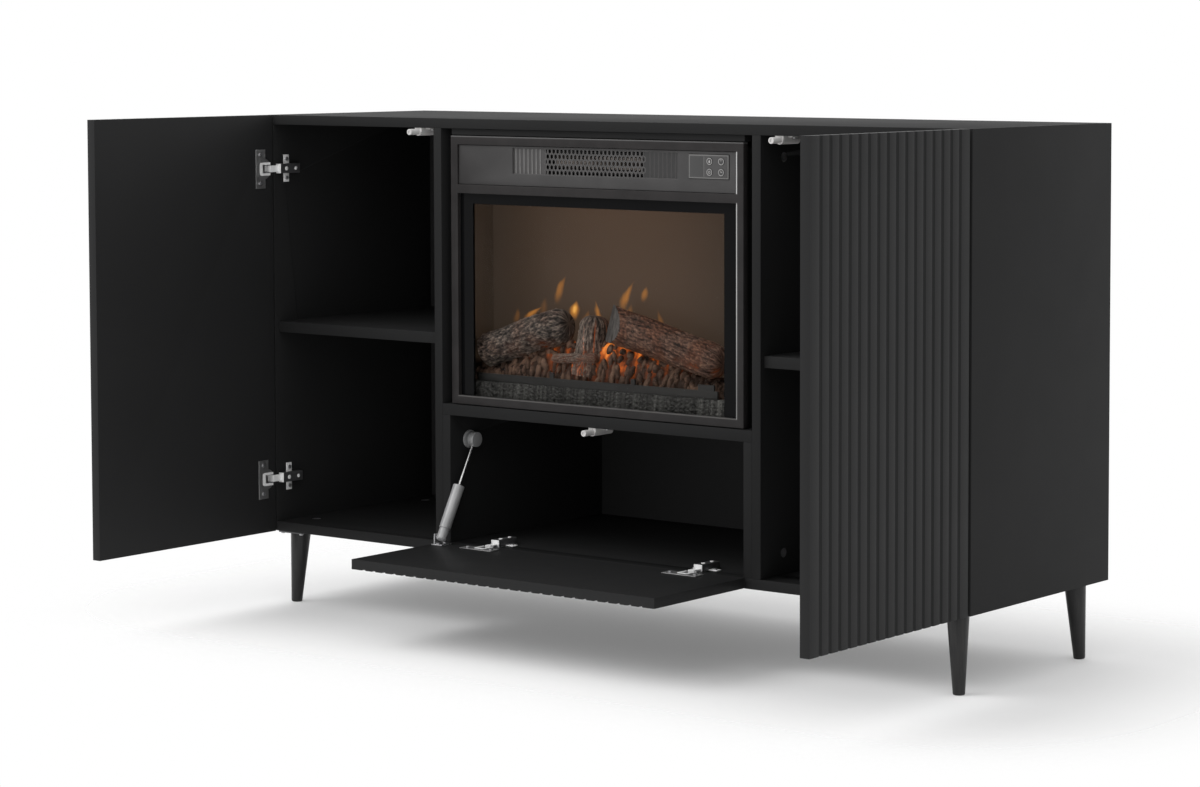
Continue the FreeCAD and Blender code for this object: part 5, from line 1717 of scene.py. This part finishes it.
    def embers(self, fire, low, high):
        """The heap of charred fingers between the logs, with the ash strip before the grate."""
        _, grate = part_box("fire_grate")
        half = high.x - self.BED_ROOM
        charred = finish_of("ember_resin")
        slope = {
            "Near Corner": (-half, grate.y + 8 * MM, low.z + 20 * MM),
            "Far Corner": (half, low.y + 42 * MM, low.z + 60 * MM),
            "Peak": 47 * MM, "Peak Place": -35 * MM, "Peak Spread": 260 * MM}
        heap = grown("ember_heap", heap_tree("ember_heap", charred), {
            "Columns": 300, "Rows": 48, "Seed": 3.0, "Cell": fire.ember_cell,
            "Stretch": 1.6, "Relief": 5.0 * MM, "Back": high.y, **slope})
        stand_in("ember_heap", heap, "ember_bed", None, self.EMBER_TURN)
        coals = grown("ember_coals", coal_tree(charred), {
            "Columns": 40, "Rows": 4, "Seed": 5, "Foot": 0.4, "Reach": 0.55,
            "Girth": fire.coal_girth, "Length": fire.coal_length, **slope})
        dress("ember_coals", coals, "ember_bed", None, self.EMBER_TURN)
        strip = grown("ash_strip", heap_tree("ash_strip", finish_of("ash_grey")), {
            "Columns": 400, "Rows": 30, "Seed": 8.0, "Near Corner": (-half, low.y + 4.5 * MM, low.z),
            "Far Corner": (half, low.y + 8 * MM, low.z + 36 * MM), "Peak": 0.0, "Peak Place": 0.0,
            "Peak Spread": half, "Cell": fire.ash_cell, "Stretch": 1.1, "Relief": 5.0 * MM, "Back": high.y})
        dress("ash_strip", strip, "ember_bed", None, self.EMBER_TURN)


class BuildWorks(StandOperator):
    """Works behind the insert's front: rotor, blower, heater, lamp strip, motors and circuit board."""
    bl_idname = "tv_stand.works"
    bl_label = "Inner works"

    FIN_HALF = 82 * MM
    FIN_HEIGHT = 19 * MM
    FIN_DEPTH = 5 * MM
    FIN_BACK = 3.5 * MM
    FIN_SHARE = 0.55

    def build(self, stand):
        paint("flame_rotor", "drive_motors", "led_strip", "blower_wheel", "control_board")
        # The heater gets a dark paint as painted shade, for the shade behind the grille
        paint("heater_unit", look="heater_shade")
        self.fins(stand.grille.fin_pitch)

    def fins(self, pitch):
        """Upright fins of the heater behind the grille's mesh."""
        low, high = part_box("heater_unit")
        count = int(2 * self.FIN_HALF / pitch) + 1
        first = (-pitch * (count - 1) / 2, low.y + self.FIN_BACK, (low.z + high.z - self.FIN_HEIGHT) / 2)
        mesh = grown("heater_fins", louvre_tree(finish_of("fin_ceramic")), {
            "Slats": count, "Pitch": pitch, "Width": pitch * self.FIN_SHARE, "Depth": self.FIN_DEPTH,
            "Height": self.FIN_HEIGHT, "Turn": 0.0, "First": first})
        dress("heater_fins", mesh, "heater_unit")


class BuildFasteners(StandOperator):
    """Screws, cams and shelf pins."""
    bl_idname = "tv_stand.fasteners"
    bl_label = "Fasteners"

    def build(self, stand):
        paint("body_screws", "cam_fittings", "shelf_pins")
        paint("left_cup_screws", "right_cup_screws", "flap_screws")


class BuildStage(StandOperator):
    """Pale floor, a soft lamp, white surroundings and the camera."""
    bl_idname = "tv_stand.stage"
    bl_label = "Stage"

    # Camera in metres, degrees and millimetres, for a picture of 1200 by 787
    EYE = (3.1860, -3.9295, 0.9570)
    YAW = 36.3207
    PITCH = -3.7627
    LENS = 97.6596
    SENSOR = 36.0
    SHIFT = (-0.12, -0.12)

    # Lamp in metres
    LAMP_PLACE = (-1.5, -1.6, 3.0)
    LAMP_TARGET = (0.0, -0.3, 0.2)
    LAMP_SIZE = 2.4

    # Floor in metres: half its width, and how far from the body it has cleared; then the lift of its shadows
    FLOOR_HALF = 14.0
    CLEAR_AT = 0.5
    SHADOW_LIFT = 0.14
    WHITE = (1.0, 1.0, 1.0, 1.0)

    def build(self, stand):
        self.floor(stand.stage)
        self.surroundings(stand.stage)
        self.lamp(stand.stage)
        self.camera()
        bpy.context.scene.view_settings.view_transform = "Standard"

    def floor(self, stage):
        """A wide floor, which belongs to the stage."""
        half = self.FLOOR_HALF
        corners = [(-half, -half, 0), (half, -half, 0), (half, half, 0), (-half, half, 0)]
        mesh = bpy.data.meshes.new("floor")
        mesh.from_pydata(corners, [], [(0, 1, 2, 3)])
        floor = bpy.data.objects.new("floor", mesh)
        bpy.context.scene.collection.objects.link(floor)
        mesh.materials.append(self.floor_finish(stage))

    def floor_finish(self, stage):
        """Pale floor that clears to the white surroundings away from the stand."""
        f = Finish("pale_floor")
        places = f.parts(f.place)
        low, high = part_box("bottom_panel")
        beside, before = (
            ((places[axis] - (low[axis] + high[axis]) / 2).size() - (high[axis] - low[axis]) / 2).most(0.0)
            for axis in (0, 1))
        away = (beside * beside + before * before).root()
        speck = f.noise(60.0)
        pale = f.add("ShaderNodeBsdfPrincipled", None, {
            "Base Color": f.mix(speck, tint(stage.floor_colour, 0.99), stage.floor_colour),
            "Roughness": 0.75, "Specular IOR Level": 0.2})
        clear = f.add("ShaderNodeBsdfTransparent")
        white = f.add("ShaderNodeEmission", None, {"Color": self.WHITE, "Strength": 1.0})
        seen = f.add("ShaderNodeLightPath", None, None, "Is Camera Ray")
        lifted = f.add("ShaderNodeMixShader", None, {0: seen * self.SHADOW_LIFT, 1: pale, 2: white})
        return f.close(f.add("ShaderNodeMixShader", None, {
            0: away.rise(0.0, self.CLEAR_AT), 1: lifted, 2: clear}))

    def surroundings(self, stage):
        """A white room, a little dimmer as light than as what is seen, mirrored or seen through."""
        world = bpy.data.worlds.new("white_room")
        bpy.context.scene.world = world
        world.use_nodes = True
        graph = Graph(world.node_tree)
        graph.tree.nodes.clear()
        seen = graph.add("ShaderNodeLightPath", None, None, "Is Camera Ray")
        mirrored = graph.more(seen, "Is Glossy Ray")
        through = graph.more(seen, "Is Transmission Ray")
        shown = seen.most(mirrored).most(through)
        level = shown + (1.0 - shown) * stage.ambient
        white = graph.add("ShaderNodeBackground", None, {"Color": self.WHITE, "Strength": level})
        graph.add("ShaderNodeOutputWorld", None, {"Surface": white})

    def lamp(self, stage):
        """A soft round lamp above the left front."""
        light = bpy.data.lights.new("key_lamp", "AREA")
        light.shape = "DISK"
        light.size = self.LAMP_SIZE
        light.energy = stage.key_power
        lamp = bpy.data.objects.new("key_lamp", light)
        lamp.location = self.LAMP_PLACE
        aim = Vector(self.LAMP_TARGET) - Vector(self.LAMP_PLACE)
        lamp.rotation_euler = aim.to_track_quat("-Z", "Y").to_euler()
        bpy.context.scene.collection.objects.link(lamp)

    def camera(self):
        """The camera, placed and turned as the photograph shows the stand."""
        data = bpy.data.cameras.new("camera")
        data.lens = self.LENS
        data.sensor_width = self.SENSOR
        data.sensor_fit = "HORIZONTAL"
        data.shift_x, data.shift_y = self.SHIFT
        camera = bpy.data.objects.new("camera", data)
        camera.location = self.EYE
        camera.rotation_euler = (math.radians(90 + self.PITCH), 0.0, math.radians(self.YAW))
        bpy.context.scene.collection.objects.link(camera)
        bpy.context.scene.camera = camera


BUILDERS = (
    BuildCarcass, BuildFronts, BuildLegs, BuildHinges, BuildLatches, BuildStay, BuildInsert, BuildGrille,
    BuildControls, BuildFire, BuildWorks, BuildFasteners, BuildStage)


class TvStandPanel(bpy.types.Panel):
    """Lists the stand's builders and settings."""
    bl_idname = "VIEW3D_PT_tv_stand"
    bl_label = "TV Stand"
    bl_space_type = "VIEW_3D"
    bl_region_type = "UI"
    bl_category = "TV Stand"

    def draw(self, context):
        for builder in BUILDERS:
            self.layout.operator(builder.bl_idname)
        stand = context.scene.tv_stand
        for group in (stand.boards, stand.flutes, stand.grille, stand.fire, stand.stage):
            box = self.layout.box()
            for name in group.bl_rna.properties.keys():
                if name not in ("rna_type", "name"):
                    box.prop(group, name)


CLASSES = (
    BoardSettings, FluteSettings, GrilleSettings, FireSettings, StageSettings, StandSettings) + BUILDERS + (
    TvStandPanel,)


def register():
    for item in CLASSES:
        bpy.utils.register_class(item)
    bpy.types.Scene.tv_stand = PointerProperty(type=StandSettings)


def unregister():
    del bpy.types.Scene.tv_stand
    for item in reversed(CLASSES):
        bpy.utils.unregister_class(item)


def main():
    register()
    for builder in BUILDERS:
        group, name = builder.bl_idname.split(".")
        getattr(getattr(bpy.ops, group), name)()


if __name__ == "__main__":
    main()
